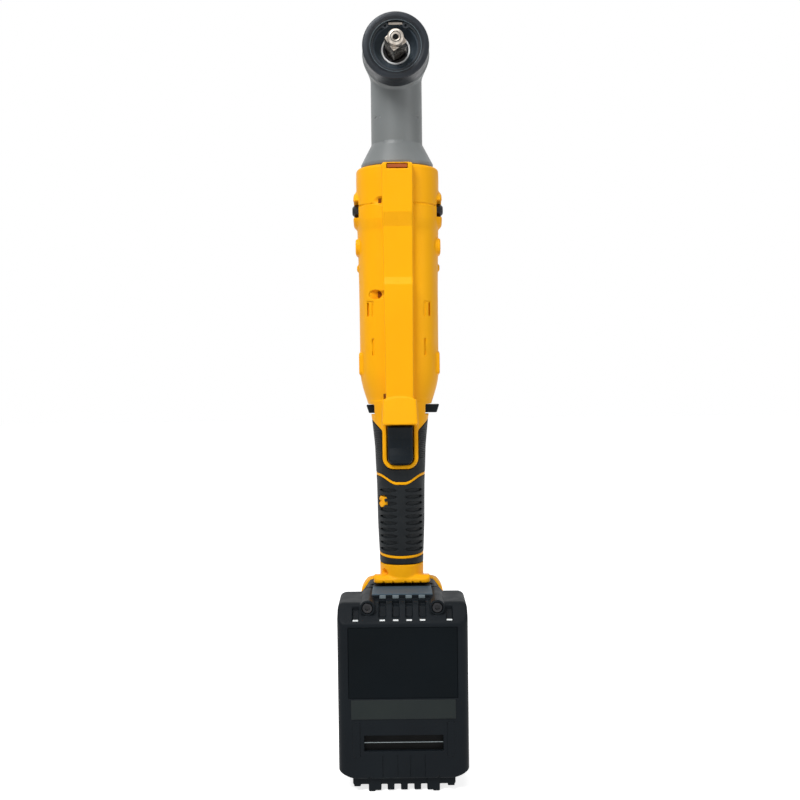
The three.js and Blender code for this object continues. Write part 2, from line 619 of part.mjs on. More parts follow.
const LIGHT_BOARD_FRONT = LIGHT_LENS_BACK + FIT;
const LIGHT_BACK = LIGHT_BOARD_FRONT + LIGHT_BOARD_DEPTH;
const LIGHT_TOP = BODY_TOP - LIGHT_MARGIN;
const LIGHT_BOTTOM = LIGHT_TOP - LIGHT_HEIGHT;

// Past every side of the tool, for cuts that run right through it.
const FAR = PACK_HALF + BOX_DEPTH + RAIL_CASE_DEPTH;

// Joins the solids of a list into one.
const joined = (solids) => solids.reduce((all, solid) => all.add(solid));

// The same piece made on the right and on the left; span turns distances from the middle into a range.
const span = (side, near, far) => (side < 0 ? [-far, -near] : [near, far]);
const bothSides = (make) => make(1).add(make(-1));

// The trigger seen from the front, with round lower corners, grown by margin.
function triggerOutline(margin, top) {
  const half = TRIGGER_HALF + margin;
  const bottom = TRIGGER_BOTTOM - Math.min(margin, FIT + FRAME_BORDER);
  const corner = TRIGGER_HALF * TRIGGER_CORNER_SHARE + margin / 2;
  const right = quarterArc(half - corner, bottom + corner, corner, -1).reverse();
  return mirroredOutline([...right, [half, top]]);
}

// Points of a quarter circle from its side to its lower (-1) or upper (1) end.
function quarterArc(x, z, radius, way, steps = 4) {
  return Array.from({ length: steps + 1 }, (_, step) => {
    const angle = (Math.PI / 2) * (step / steps);
    return [x + radius * Math.cos(angle), z + way * radius * Math.sin(angle)];
  });
}

// An outline's right half, from bottom to top, completed with its mirror image.
const mirroredOutline = (right) => [...right, ...right.map(([x, z]) => [-x, z]).reverse()];

// The yellow yoke above the rubber seen from the front, grown by margin.
function yokeOutline(margin) {
  const half = FRAME_HALF + margin;
  const low = GRIP_TOP - YOKE_DROP - margin;
  const high = GRIP_TOP - margin;
  const reach = [GRIP_WIDTH * YOKE_REACH_SHARE, high];
  return mirroredOutline([[half, low], reach, [GRIP_WIDTH, high], [GRIP_WIDTH, BODY_BOTTOM]]);
}

// The trigger's frame seen from the front, grown by margin.
function frameOutline(margin) {
  const half = FRAME_HALF + margin;
  const bottom = FRAME_BOTTOM - margin;
  const corner = TRIGGER_HALF * TRIGGER_CORNER_SHARE + FRAME_BORDER + margin;
  const right = quarterArc(half - corner, bottom + corner, corner, -1).reverse();
  return mirroredOutline([...right, [half, BODY_BOTTOM]]);
}

// Housing

// The handle's core under the rubber, with the yoke, the trigger frame and the bare stub at full size.
function handleCore() {
  const core = hullBetween(handleLevels, FLANGE_BOTTOM, BODY_BOTTOM, CORE_INSET);
  const stub = hullBetween(handleLevels, FLANGE_BOTTOM, GRIP_BOTTOM - FIT);
  const whole = hullBetween(handleLevels, FRAME_BOTTOM, BODY_BOTTOM);
  const above = hullBetween(handleLevels, GRIP_TOP + FIT, BODY_BOTTOM);
  const yoke = drawn('y', yokeOutline(0), [-FAR, 0]).intersect(whole);
  const frame = drawn('y', frameOutline(0), [FRAME_FRONT, 0]);
  return joined([core, stub, above, yoke, frame]);
}

// The ridge's front from its lower end up: how far back, in steps, and how high, in body lengths.
const SPINE_SHARES = [[0, 0], [0, 0.5], [1, 0.53], [1, 0.738], [-0.5, 0.796], [-0.5, 1]];

// The ridge along the body's front, its steps, and the hood over the trigger.
function spine() {
  const point = ([back, up]) => [SPINE_FRONT + SPINE_STEP * back, BODY_BOTTOM + BODY_LENGTH * up];
  const face = SPINE_SHARES.map(point);
  const ridge = drawn('x', [[0, BODY_BOTTOM], ...face, [0, BODY_TOP]], [-SPINE_WIDTH / 2, SPINE_WIDTH / 2]);
  const hoodBottom = TRIGGER_TOP + HOOD_GAP;
  const tip = -(BODY_FRONT + HOOD_RISE);
  const hoodOutline = [
    [0, hoodBottom], [tip + HOOD_LIP_CHAMFER, hoodBottom], [tip, hoodBottom + HOOD_LIP_CHAMFER],
    [SPINE_FRONT - FIT, hoodBottom + HOOD_HEIGHT], [0, hoodBottom + HOOD_HEIGHT],
  ];
  return ridge.add(drawn('x', hoodOutline, [-HOOD_WIDTH / 2, HOOD_WIDTH / 2]));
}

// A round boss with a chamfered rim on one side of the body.
function boltBoss(side) {
  const edge = BODY_SIDE + BOSS_RISE - BOSS_CHAMFER;
  const [big, small] = [BOSS_RADIUS, BOSS_RADIUS - BOSS_CHAMFER];
  const flat = rod('x', big, span(side, 0, edge), [0, BOLT_HEIGHT], SMALL_ROUND);
  const [start, end] = side < 0 ? [small, big] : [big, small];
  const rim = rod('x', start, span(side, edge, edge + BOSS_CHAMFER), [0, BOLT_HEIGHT], SMALL_ROUND, end);
  return flat.add(rim);
}

// How far up the body, in its lengths, the two oval pads and the strip on its sides are.
const PAD_SHARES = { oval: 0.668, small: 0.572, strip: 0.171 };

function sidePads(side) {
  const pad = (share, height, depth, rise) => {
    const z = BODY_BOTTOM + BODY_LENGTH * share;
    const reach = levelAt(bodyLevels, z).half + rise;
    const oval = new THREE.CylinderGeometry(height / 2, height / 2, reach, TINY_ROUND);
    return laid(oval.scale(1, 1, depth / height), 'x', [(side * reach) / 2, 0, z]);
  };
  return joined([
    pad(PAD_SHARES.oval, PAD_HEIGHT, PAD_DEPTH, PAD_RISE),
    pad(PAD_SHARES.small, SMALL_PAD_HEIGHT, SMALL_PAD_HEIGHT, PAD_RISE / 2),
    pad(PAD_SHARES.strip, STRIP_HEIGHT, PAD_DEPTH, STRIP_RISE),
  ]);
}

// The foot behind the pack: a plate for the rail channel and a flange under the grip.
function foot() {
  const half = RAIL_HEAD_WIDTH / 2 + FIT + FOOT_SIDE_WALL;
  const top = FLANGE_BOTTOM + FIT;
  const arc = quarterArc(half - FOOT_SHOULDER, top - FOOT_SHOULDER, FOOT_SHOULDER, 1);
  const plate = drawn('y', mirroredOutline([[half, FOOT_BOTTOM], ...arc]), [FOOT_FRONT, FOOT_BACK]);
  const ring = (z, share) => hullRing({
    z,
    half: (FLANGE_WIDTH / 2) * share,
    front: FLANGE_REACH * share,
    back: FOOT_BACK,
    squareness: FLANGE_SQUARENESS,
  });
  return plate.add(lofted([ring(FLANGE_BOTTOM, 1), ring(FLANGE_TOP, FLANGE_TOP_SHARE)]));
}

// The channel that the pack's rails run in, with the terminal block's room above.
function railChannel() {
  const neck = RAIL_NECK_WIDTH / 2 + FIT;
  const head = RAIL_HEAD_WIDTH / 2 + FIT;
  const bottom = FOOT_BOTTOM - OVERRUN;
  const top = TERMINAL_TOP + FIT;
  const throat = block([-neck, neck], [FOOT_FRONT - OVERRUN, RAIL_NECK_BACK], [bottom, top]);
  const bed = block([-head, head], [RAIL_NECK_BACK - FIT, RAIL_BACK + FIT], [bottom, top]);
  return throat.add(bed);
}

// Everything hollow inside the housing.
function housingCavity() {
  const taperInset = BODY_SIDE - MOTOR_BORE_RADIUS;
  const switchRange = [TRIGGER_BOTTOM - FIT, TRIGGER_TOP + FIT];
  return joined([
    hullBetween(handleLevels, FLANGE_TOP, BODY_BOTTOM, HANDLE_CAVITY_INSET),
    hullBetween(bodyLevels, BODY_BOTTOM, CONTROLLER_BOTTOM, taperInset),
    rod('z', MOTOR_BORE_RADIUS, [CONTROLLER_BOTTOM - FIT, WEB_BOTTOM]),
    rod('z', MOTOR_BEARING_RADIUS + FIT, [WEB_BOTTOM - FIT, WEB_TOP + FIT]),
    rod('z', MOTOR_BORE_RADIUS, [WEB_TOP, PLATE_BOTTOM]),
    rod('z', CASE_BORE_RADIUS, [PLATE_BOTTOM - FIT, BODY_TOP + OVERRUN]),
    block([-SWITCH_HALF - FIT, SWITCH_HALF + FIT], [SWITCH_FRONT - FIT, SWITCH_BACK + FIT], switchRange),
    wire(1, WIRE_RADIUS + FIT),
    wire(-1, WIRE_RADIUS + FIT),
  ]);
}

// Slits through both flanks of the body: share of the way up, of its length, and of its half width.
const VENT_SHARES = [
  [0.415, 0.09, 0.7],
  [0.415, 0.09, 0.82],
  [0.232, 0.1, 0.7],
];

function vents() {
  return joined(VENT_SHARES.flatMap(([centre, height, across]) => {
    const z = BODY_BOTTOM + BODY_LENGTH * centre;
    const rise = (BODY_LENGTH * height) / 2;
    const near = BODY_SIDE * across - VENT_WIDTH / 2;
    return [1, -1].map((side) => block(span(side, near, near + VENT_WIDTH), [-FAR, 0], [z - rise, z + rise]));
  }));
}

// Openings through the housing's walls: trigger, selector, light, side bolts and vents.
function housingOpenings() {
  const triggerHole = drawn('y', triggerOutline(TRIGGER_SIDE_GAP, TRIGGER_TOP + FIT), [-TRIGGER_REACH, 0]);
  const gap = SELECTOR_DEPTH / 2 + FIT;
  const selectorHole = block(
    [-FAR, FAR], [-gap, gap], [SELECTOR_BOTTOM - FIT, SELECTOR_TOP + FIT],
  );
  const lightHalf = LIGHT_WIDTH / 2;
  const lightRange = [LIGHT_FACE - OVERRUN, LIGHT_BACK + FIT];
  const pocket = block([-lightHalf, lightHalf], lightRange, [LIGHT_BOTTOM, LIGHT_TOP]);
  const boltHole = (side) => {
    const spot = span(side, BODY_SIDE - BOLT_SEAT, FAR);
    const head = rod('x', BOLT_RADIUS + FIT, spot, [0, BOLT_HEIGHT], SMALL_ROUND);
    return head.add(rod('x', BOLT_SHANK_RADIUS + FIT, span(side, 0, FAR), [0, BOLT_HEIGHT], TINY_ROUND));
  };
  return joined([triggerHole, selectorHole, pocket, bothSides(boltHole), vents()]);
}

// Housing screws go in from the viewer's left: height, depth along Y, and how far out the head's face is.
const RIDGE_SCREW_DEPTH = SPINE_FRONT + SCREW_HEAD_RADIUS + WALL / 2;
const RIDGE_SCREW_FACE = SPINE_WIDTH / 2 - SCREW_RECESS;
const HANDLE_SCREW_FACE = GRIP_WIDTH / 2 - GRIP_THICKNESS - SCREW_HEAD_HEIGHT;
const SCREW_SHARES = { upper: 0.8475, middle: 0.459, lower: 0.0276, grip: 0.6226 };
const bodyScrew = (share, depth) => [BODY_BOTTOM + BODY_LENGTH * share, depth, RIDGE_SCREW_FACE];
const MIDDLE_SCREW_DEPTH = -(MOTOR_BORE_RADIUS + SCREW_SHANK_RADIUS + FIT + WALL / 2);
const SCREWS = {
  upper_body_screw: bodyScrew(SCREW_SHARES.upper, RIDGE_SCREW_DEPTH),
  middle_body_screw: bodyScrew(SCREW_SHARES.middle, MIDDLE_SCREW_DEPTH),
  lower_body_screw: bodyScrew(SCREW_SHARES.lower, RIDGE_SCREW_DEPTH),
  grip_screw: [GRIP_BOTTOM + GRIP_BELOW_TRIGGER * SCREW_SHARES.grip, -GRIP_FRONT / 2, HANDLE_SCREW_FACE],
  stub_screw: [FLANGE_TOP + STUB_HEIGHT / 2, -GRIP_FRONT / 2, HANDLE_SCREW_FACE],
};

// A screw's head and shank, or with a margin the hole that it goes in, which then runs on out of the side.
function screw([z, y, face], margin = 0) {
  const start = margin > 0 ? -FAR : -face;
  const seat = SCREW_HEAD_HEIGHT - face + margin;
  const tip = SCREW_HEAD_HEIGHT - face + SCREW_SHANK_LENGTH + margin;
  const head = rod('x', SCREW_HEAD_RADIUS + margin, [start, seat], [y, z], TINY_ROUND);
  const shank = rod('x', SCREW_SHANK_RADIUS + margin, [seat - margin, tip], [y, z], TINY_ROUND);
  return margin > 0 ? head.add(shank) : head.add(shank).subtract(screwSocket(face, y, z));
}

const screwSocket = (face, y, z) => rod(
  'x', SCREW_SHANK_RADIUS, [-face - OVERRUN, SCREW_HEAD_HEIGHT / 2 - face], [y, z], HEXAGON,
);

// Tubes across the hollow handle that its screws run in.
function handleScrewBosses() {
  const inside = hullBetween(handleLevels, FLANGE_BOTTOM, BODY_BOTTOM, CORE_INSET);
  const posts = [SCREWS.grip_screw, SCREWS.stub_screw].map(([z, y]) => rod(
    'x', SCREW_HEAD_RADIUS + FIT + BOSS_WALL, [-FAR, FAR], [y, z], TINY_ROUND,
  ));
  return joined(posts).intersect(inside);
}

function housing() {
  const outside = joined([
    hull(bodyLevels), handleCore(), spine(), foot(), bothSides(boltBoss), bothSides(sidePads),
  ]);
  const hollow = outside.subtract(housingCavity()).add(handleScrewBosses());
  const holes = joined(Object.values(SCREWS).map((at) => screw(at, FIT)));
  return hollow.subtract(joined([housingOpenings(), railChannel(), holes]));
}

// Cuts a solid in two at the middle plane, with the seam between the halves.
function halves(solid) {
  const half = (side) => block(span(side, SEAM / 2, FAR), [-FAR, FAR], [0, DRIVE_HEIGHT]);
  return { left: solid.intersect(half(-1)), right: solid.intersect(half(1)) };
}

// Rubber grip

// A band across the grip seen from the front, dropping by sweep towards the middle.
function accentBand(low, sweep) {
  const bend = (GRIP_WIDTH / 2) * ACCENT_BEND_SHARE;
  const half = Array.from({ length: ACCENT_STEPS + 1 }, (_, step) => {
    const share = step / ACCENT_STEPS;
    return [bend * share, low + (sweep * (1 - Math.cos(Math.PI * share))) / 2];
  });
  const lower = [...half.map(([x, z]) => [-x, z]).reverse(), ...half.slice(1)];
  const edge = [[-FAR, low + sweep], ...lower, [FAR, low + sweep]];
  return [...edge, ...edge.map(([x, z]) => [x, z + GRIP_GROOVE_WIDTH]).reverse()];
}

function grip() {
  const outside = hullBetween(handleLevels, GRIP_BOTTOM, GRIP_TOP);
  const inside = hullBetween(handleLevels, GRIP_BOTTOM - OVERRUN, GRIP_TOP + FIT, GRIP_THICKNESS);
  const floor = hullBetween(handleLevels, GRIP_BOTTOM - OVERRUN, GRIP_TOP + FIT, GRIP_GROOVE_DEPTH);
  const bands = [
    accentBand(GRIP_BOTTOM + GRIP_GROOVE_RISE, 0),
    accentBand(TRIGGER_BOTTOM - UPPER_GROOVE_DROP, UPPER_GROOVE_SWEEP),
  ];
  const grooves = joined(bands.map((band) => drawn('y', band, [-FAR, FAR]))).subtract(floor);
  const [screwHeight, screwDepth] = SCREWS.grip_screw;
  const holeRadius = SCREW_HEAD_RADIUS + FIT + GRIP_SCREW_BORDER;
  const screwHole = rod('x', holeRadius, [-FAR, 0], [screwDepth, screwHeight], TINY_ROUND);
  const yoke = drawn('y', yokeOutline(FIT), [-FAR, FIT]);
  const frame = drawn('y', frameOutline(FIT), [-FAR, FIT]);
  return outside.subtract(joined([inside, grooves, screwHole, yoke, frame]));
}

// Handle insides

// Power wires, from the terminal block up the back of the handle to the switch.
function wire(side, radius) {
  const x = side * WIRE_SPACING / 2;
  const blockMiddle = (RAIL_NECK_BACK + RAIL_BACK) / 2;
  const run = radius - WIRE_RADIUS;
  const points = [
    [x, blockMiddle, TERMINAL_TOP + FIT - run],
    [x, blockMiddle, FLANGE_BOTTOM],
    [x, SWITCH_BACK - WIRE_RADIUS * 2, GRIP_BOTTOM + STUB_HEIGHT],
    [x, SWITCH_BACK - WIRE_RADIUS * 2, TRIGGER_BOTTOM - FIT + run],
  ].map(([px, y, z]) => new THREE.Vector3(px, y, z));
  const path = new THREE.CatmullRomCurve3(points, false, 'centripetal');
  const section = new THREE.Shape(Array.from({ length: WIRE_ROUND }, (_, step) => {
    const angle = (2 * Math.PI * step) / WIRE_ROUND;
    return new THREE.Vector2(radius * Math.cos(angle), radius * Math.sin(angle));
  }));
  const options = { steps: WIRE_STEPS, bevelEnabled: false, extrudePath: path };
  return solidOf(new THREE.ExtrudeGeometry(section, options));
}

function switchBox() {
  const body = block([-SWITCH_HALF, SWITCH_HALF], [SWITCH_FRONT, SWITCH_BACK], [TRIGGER_BOTTOM, TRIGGER_TOP]);
  const depth = PLUNGER_ENGAGEMENT + TRIGGER_TRAVEL + FIT;
  const range = [SWITCH_FRONT - OVERRUN, SWITCH_FRONT + depth];
  const hole = rod('y', PLUNGER_RADIUS + FIT, range, [0, TRIGGER_MIDDLE], TINY_ROUND);
  return body.subtract(hole);
}

// The trigger's face from its lower end up: how far back, in hollows, and how high, in its heights.
const TRIGGER_FACE_SHARES = [[1, 0], [0, 0.1], [0.4, 0.27], [1, 0.45], [1, 0.7], [0.5, 1]];

function trigger() {
  const lip = -TRIGGER_REACH;
  const point = ([back, up]) => [lip + TRIGGER_HOLLOW * back, TRIGGER_BOTTOM + TRIGGER_HEIGHT * up];
  const face = TRIGGER_FACE_SHARES.map(point);
  const profile = [[TRIGGER_BACK, TRIGGER_BOTTOM], ...face, [TRIGGER_BACK, TRIGGER_TOP]];
  const paddle = drawn('x', profile, [-TRIGGER_HALF, TRIGGER_HALF]);
  const depth = [lip - OVERRUN, TRIGGER_BACK + OVERRUN];
  const rounded = drawn('y', triggerOutline(0, TRIGGER_TOP + OVERRUN), depth);
  const plungerEnd = SWITCH_FRONT + PLUNGER_ENGAGEMENT;
  const reach = [TRIGGER_BACK - TRIGGER_HOLLOW, plungerEnd];
  const plunger = rod('y', PLUNGER_RADIUS, reach, [0, TRIGGER_MIDDLE], TINY_ROUND);
  return paddle.intersect(rounded).add(plunger);
}

// The direction bar, pushed over to the viewer's right.
function selector() {
  const upper = SELECTOR_LENGTH / 2;
  const lower = upper - SELECTOR_TAPER;
  const outline = mirroredOutline([[lower, SELECTOR_BOTTOM], [upper, SELECTOR_TOP]]);
  const placed = outline.map(([x, z]) => [x + SELECTOR_TRAVEL / 2, z]);
  return drawn('y', placed, [-SELECTOR_DEPTH / 2, SELECTOR_DEPTH / 2]);
}

function controller() {
  const half = CONTROLLER_WIDTH / 2;
  const depth = Math.sqrt((MOTOR_BORE_RADIUS - FIT) ** 2 - half ** 2);
  return block([-half, half], [-depth, depth], [CONTROLLER_BOTTOM, CONTROLLER_TOP]);
}

// Terminal block in the foot, with the blades that stand in the pack's slots.
const BLADE_MIDDLE = (RAIL_NECK_BACK + RAIL_BACK) / 2;
const bladeStep = (_, step) => (step - (BLADE_COUNT - 1) / 2) * BLADE_PITCH;
const bladePlaces = Array.from({ length: BLADE_COUNT }, bladeStep);
const blade = (x, margin) => block(
  [x - BLADE_THICKNESS / 2 - margin, x + BLADE_THICKNESS / 2 + margin],
  [BLADE_MIDDLE - BLADE_DEPTH / 2 - margin, BLADE_MIDDLE + BLADE_DEPTH / 2 + margin],
  [TERMINAL_BOTTOM - BLADE_LENGTH - margin, TERMINAL_BOTTOM + BLADE_THICKNESS],
);

function terminalBlock() {
  const half = RAIL_HEAD_WIDTH / 2;
  const body = block([-half, half], [RAIL_NECK_BACK, RAIL_BACK], [TERMINAL_BOTTOM, TERMINAL_TOP]);
  return body.add(joined(bladePlaces.map((x) => blade(x, 0))));
}

// Toothed wheels

// One tooth's corners: how far round, in teeth, and how far out, in tooth depths.
const TOOTH_SHARES = [[-0.28, 0], [-0.14, 1], [0.14, 1], [0.28, 0]];

// A toothed outline about a centre; its teeth point outwards from root to tip.
function toothed(teeth, root, tip, [x, y] = [0, 0]) {
  return Array.from({ length: teeth }, (_, tooth) => TOOTH_SHARES.map(([turn, out]) => {
    const angle = (2 * Math.PI * (tooth + turn)) / teeth;
    const radius = root + (tip - root) * out;
    return [x + radius * Math.cos(angle), y + radius * Math.sin(angle)];
  })).flat();
}

const SUN_TIP = SUN_PITCH_RADIUS - FIT / 2;
const PLANET_TIP = PLANET_PITCH_RADIUS - FIT / 2;
const RING_TIP = RING_PITCH_RADIUS + FIT / 2;
const sun = (range) => drawn('z', toothed(SUN_TEETH, SUN_TIP - TOOTH_DEPTH, SUN_TIP), range);
const planetPlace = (number) => {
  const angle = (2 * Math.PI * number) / PLANET_COUNT + Math.PI / 2;
  return [PLANET_ORBIT * Math.cos(angle), PLANET_ORBIT * Math.sin(angle)];
};

function planet(number, start, face) {
  const at = planetPlace(number);
  const range = [start, start + face];
  const bore = rod('z', PLANET_PIN_RADIUS + FIT, [start - OVERRUN, start + face + OVERRUN], at, TINY_ROUND);
  return drawn('z', toothed(PLANET_TEETH, PLANET_TIP - TOOTH_DEPTH, PLANET_TIP, at), range).subtract(bore);
}

function ringGear(start, end) {
  const outline = toothed(RING_TEETH, RING_TIP + TOOTH_DEPTH, RING_TIP);
  const teeth = drawn('z', outline, [start - OVERRUN, end + OVERRUN]);
  return rod('z', RING_RADIUS, [start, end]).subtract(teeth);
}

// A planet carrier's disc and pins.
function carrier(start, disc) {
  const plate = rod('z', PLANET_ORBIT + CARRIER_RIM, [disc, disc + CARRIER_THICKNESS], [0, 0], SMALL_ROUND);
  const pins = Array.from({ length: PLANET_COUNT }, (_, number) => rod(
    'z', PLANET_PIN_RADIUS, [start, disc + CARRIER_THICKNESS / 2], planetPlace(number), TINY_ROUND,
  ));
  return joined([plate, ...pins]);
}

// A bevel wheel's cone from its big end to its small end, towards the point where both axes meet.
function bevelCone(axis, teeth, radius, distance) {
  const tip = radius - FIT;
  const root = tip - TOOTH_DEPTH;
  const scale = 1 - BEVEL_FACE_SHARE;
  const way = axis === 'z' ? -1 : 1;
  const ring = (share) => toothed(teeth, root, tip).map(([p, q]) => {
    const along = way * distance * share;
    const upright = [p * share, q * share, DRIVE_HEIGHT + along];
    return axis === 'z' ? upright : [p * share, along, DRIVE_HEIGHT + q * share];
  });
  return lofted([ring(1), ring(scale)]);
}

// Drive train

const SHAFT_END = SECOND_CARRIER + CARRIER_THICKNESS / 2;
const HUB_RADIUS = DRIVE_SHAFT_RADIUS + FIT + CARRIER_HUB_WALL;

function secondCarrier() {
  const hub = rod('z', HUB_RADIUS, [SECOND_CARRIER, HUB_TOP], [0, 0], SMALL_ROUND);
  const socket = rod('z', DRIVE_SHAFT_RADIUS + FIT, [SHAFT_END - FIT, HUB_TOP + OVERRUN], [0, 0], HEXAGON);
  return carrier(SECOND_PLANETS, SECOND_CARRIER).add(hub).subtract(socket);
}

function driveShaft() {
  const keyed = rod('z', DRIVE_SHAFT_RADIUS, [SHAFT_END, HUB_TOP + FIT], [0, 0], HEXAGON);
  const shaft = rod('z', DRIVE_SHAFT_RADIUS, [HUB_TOP + FIT / 2, PINION_BOTTOM + FIT], [0, 0], SMALL_ROUND);
  return joined([keyed, shaft, bevelCone('z', BEVEL_PINION_TEETH, BEVEL_PINION_RADIUS, BEVEL_GEAR_RADIUS)]);
}

function bevelGear() {
  const cone = bevelCone('y', BEVEL_GEAR_TEETH, BEVEL_GEAR_RADIUS, BEVEL_PINION_RADIUS);
  const hubRadius = BEVEL_GEAR_RADIUS - TOOTH_DEPTH * 2;
  const at = [0, DRIVE_HEIGHT];
  const hub = rod('y', hubRadius, [BEVEL_PINION_RADIUS - FIT, BEVEL_HUB_BACK], at, SMALL_ROUND);
  return cone.add(hub).subtract(rod('y', ANVIL_TAIL_RADIUS + FIT, [-FAR, FAR], at, SMALL_ROUND));
}

// The square that holds a socket, its shaft and the tail that the bevel gear sits on.
function anvil() {
  const flat = DRIVE_SQUARE / 2;
  const cut = flat - DRIVE_CORNER;
  const turn = THREE.MathUtils.degToRad(DRIVE_TURN);
  const square = [
    [flat, -cut], [flat, cut], [cut, flat], [-cut, flat],
    [-flat, cut], [-flat, -cut], [-cut, -flat], [cut, -flat],
  ];
  const turnedSquare = square.map(([x, z]) => [
    x * Math.cos(turn) + z * Math.sin(turn), DRIVE_HEIGHT + z * Math.cos(turn) - x * Math.sin(turn),
  ]);
  const grooveStart = DRIVE_TIP + RING_GROOVE_FROM_TIP;
  const grooveEnd = grooveStart + RING_GROOVE_WIDTH;
  const at = [0, DRIVE_HEIGHT];
  const base = CAP_FLOOR - BUSH_PROUD;
  const parts = [
    rod('y', DRIVE_NOSE_RADIUS, [DRIVE_TIP, grooveStart], at, SMALL_ROUND),
    rod('y', RING_GROOVE_RADIUS, [grooveStart - FIT, grooveEnd + FIT], at, SMALL_ROUND),
    drawn('y', turnedSquare, [grooveEnd, base + FIT]),
    rod('y', ANVIL_RADIUS, [base, SPIGOT_END + FIT], at),
    rod('y', ANVIL_TAIL_RADIUS, [SPIGOT_END, TAIL_BEARING_BACK], at, SMALL_ROUND),
  ];
  const holeRange = [DRIVE_TIP - OVERRUN, DRIVE_TIP + DRIVE_HOLE_DEPTH];
  return joined(parts).subtract(rod('y', DRIVE_HOLE_RADIUS, holeRange, at, TINY_ROUND));
}

// A ring about the drive's axis that is open at the top, as one outline drawn along Y.
function splitRing(outer, inner, openDegrees, range) {
  const open = THREE.MathUtils.degToRad(openDegrees);
  const arc = (radius) => Array.from({ length: ROUND + 1 }, (_, step) => {
    const angle = Math.PI / 2 + open / 2 + ((2 * Math.PI - open) * step) / ROUND;
    return [radius * Math.cos(angle), DRIVE_HEIGHT + radius * Math.sin(angle)];
  });
  return drawn('y', [...arc(outer), ...arc(inner).reverse()], range);
}

function frictionRing() {
  const start = DRIVE_TIP + RING_GROOVE_FROM_TIP + FIT;
  const range = [start, start + RING_GROOVE_WIDTH - FIT * 2];
  return splitRing(FRICTION_RING_RADIUS, RING_GROOVE_RADIUS + FIT, RING_GAP_ANGLE, range);
}

// The ring that keeps the bush in, with the two lugs that its pliers hold.
function retainingRing() {
  const start = CAP_FRONT + CIRCLIP_DEPTH;
  const range = [start, start + CIRCLIP_THICKNESS];
  const inner = CAP_RECESS_RADIUS - CIRCLIP_WIDTH;
  const ring = splitRing(CAP_RECESS_RADIUS + CIRCLIP_GROOVE - FIT, inner, RING_GAP_ANGLE, range);
  const lugs = [-1, 1].map((side) => {
    const angle = THREE.MathUtils.degToRad(90 - side * (RING_GAP_ANGLE / 2 + LUG_ANGLE));
    const at = [inner * Math.cos(angle), DRIVE_HEIGHT + inner * Math.sin(angle)];
    const hole = rod('y', CIRCLIP_LUG_HOLE, [start - OVERRUN, start + OVERRUN], at, TINY_ROUND);
    return [rod('y', CIRCLIP_LUG_RADIUS, range, at, TINY_ROUND), hole];
  });
  return joined([ring, ...lugs.map(([lug]) => lug)]).subtract(joined(lugs.map(([, hole]) => hole)));
}

function noseCap() {
  const at = [0, DRIVE_HEIGHT];
  const chamfered = CAP_FRONT + CAP_RIM_CHAMFER;
  const grooveStart = CAP_FRONT + CIRCLIP_DEPTH - FIT;
  const grooveEnd = grooveStart + CIRCLIP_THICKNESS + FIT + FIT;
  const outside = joined([
    rod('y', CAP_RADIUS - CAP_RIM_CHAMFER, [CAP_FRONT, chamfered], at, ROUND, CAP_RADIUS),
    rod('y', CAP_RADIUS, [chamfered, CAP_BACK], at),
    rod('y', HEAD_BORE_RADIUS - FIT, [CAP_BACK - FIT, SPIGOT_END], at),
  ]);
  return outside.subtract(joined([
    rod('y', CAP_RECESS_RADIUS, [CAP_FRONT - OVERRUN, CAP_FRONT + CAP_RECESS_DEPTH], at),
    rod('y', CAP_RECESS_RADIUS + CIRCLIP_GROOVE, [grooveStart, grooveEnd], at),
    rod('y', CAP_WELL_RADIUS, [CAP_FRONT, CAP_FLOOR], at),
    rod('y', BUSH_RADIUS + FIT, [CAP_FLOOR - OVERRUN, SPIGOT_END + OVERRUN], at),
    rod('y', NOSE_BEARING_RADIUS + FIT, [NOSE_BEARING_FRONT - FIT, SPIGOT_END + OVERRUN], at),
  ]));
}

// Gear case: the barrel inside the housing, the flare, the neck and the head in one casting.
function gearCase() {
  const at = [0, DRIVE_HEIGHT];
  const rimTop = FLARE_BOTTOM + FLARE_RIM;
  const rimBack = HEAD_BACK - HEAD_CHAMFER;
  const outside = joined([
    rod('z', CASE_RADIUS, [CHAMBER_BOTTOM, FLARE_BOTTOM + FIT]),
    rod('z', FLARE_RADIUS, [FLARE_BOTTOM, rimTop]),
    rod('z', FLARE_RADIUS, [rimTop, FLARE_TOP], [0, 0], ROUND, NECK_RADIUS),
    rod('z', NECK_RADIUS, [FLARE_TOP, DRIVE_HEIGHT]),
    rod('z', NECK_RADIUS + NECK_RIDGE, [FLARE_TOP, FLARE_TOP + NECK_RIDGE_HEIGHT]),
    rod('y', HEAD_RADIUS, [HEAD_MOUTH, rimBack], at, ROUND, HEAD_BACK_RADIUS),
    rod('y', HEAD_BACK_RADIUS, [rimBack, HEAD_BACK], at, ROUND, HEAD_BACK_RADIUS - HEAD_CHAMFER),
  ]);
  const boltTip = (side) => rod(
    'x', BOLT_SHANK_RADIUS + FIT, span(side, 0, FAR), [0, BOLT_HEIGHT], TINY_ROUND,
  );
  return outside.subtract(joined([
    rod('z', CHAMBER_RADIUS, [CHAMBER_BOTTOM - OVERRUN, CHAMBER_TOP]),
    rod('z', SHAFT_BEARING_RADIUS + FIT, [CHAMBER_TOP - OVERRUN, DRIVE_HEIGHT], [0, 0], SMALL_ROUND),
    rod('y', HEAD_BORE_RADIUS, [HEAD_MOUTH - OVERRUN, TAIL_BEARING_FRONT], at),
    rod('y', TAIL_BEARING_RADIUS + FIT, [0, TAIL_BEARING_BACK + FIT], at, SMALL_ROUND),
    bothSides(boltTip),
  ]));
}

// Motor

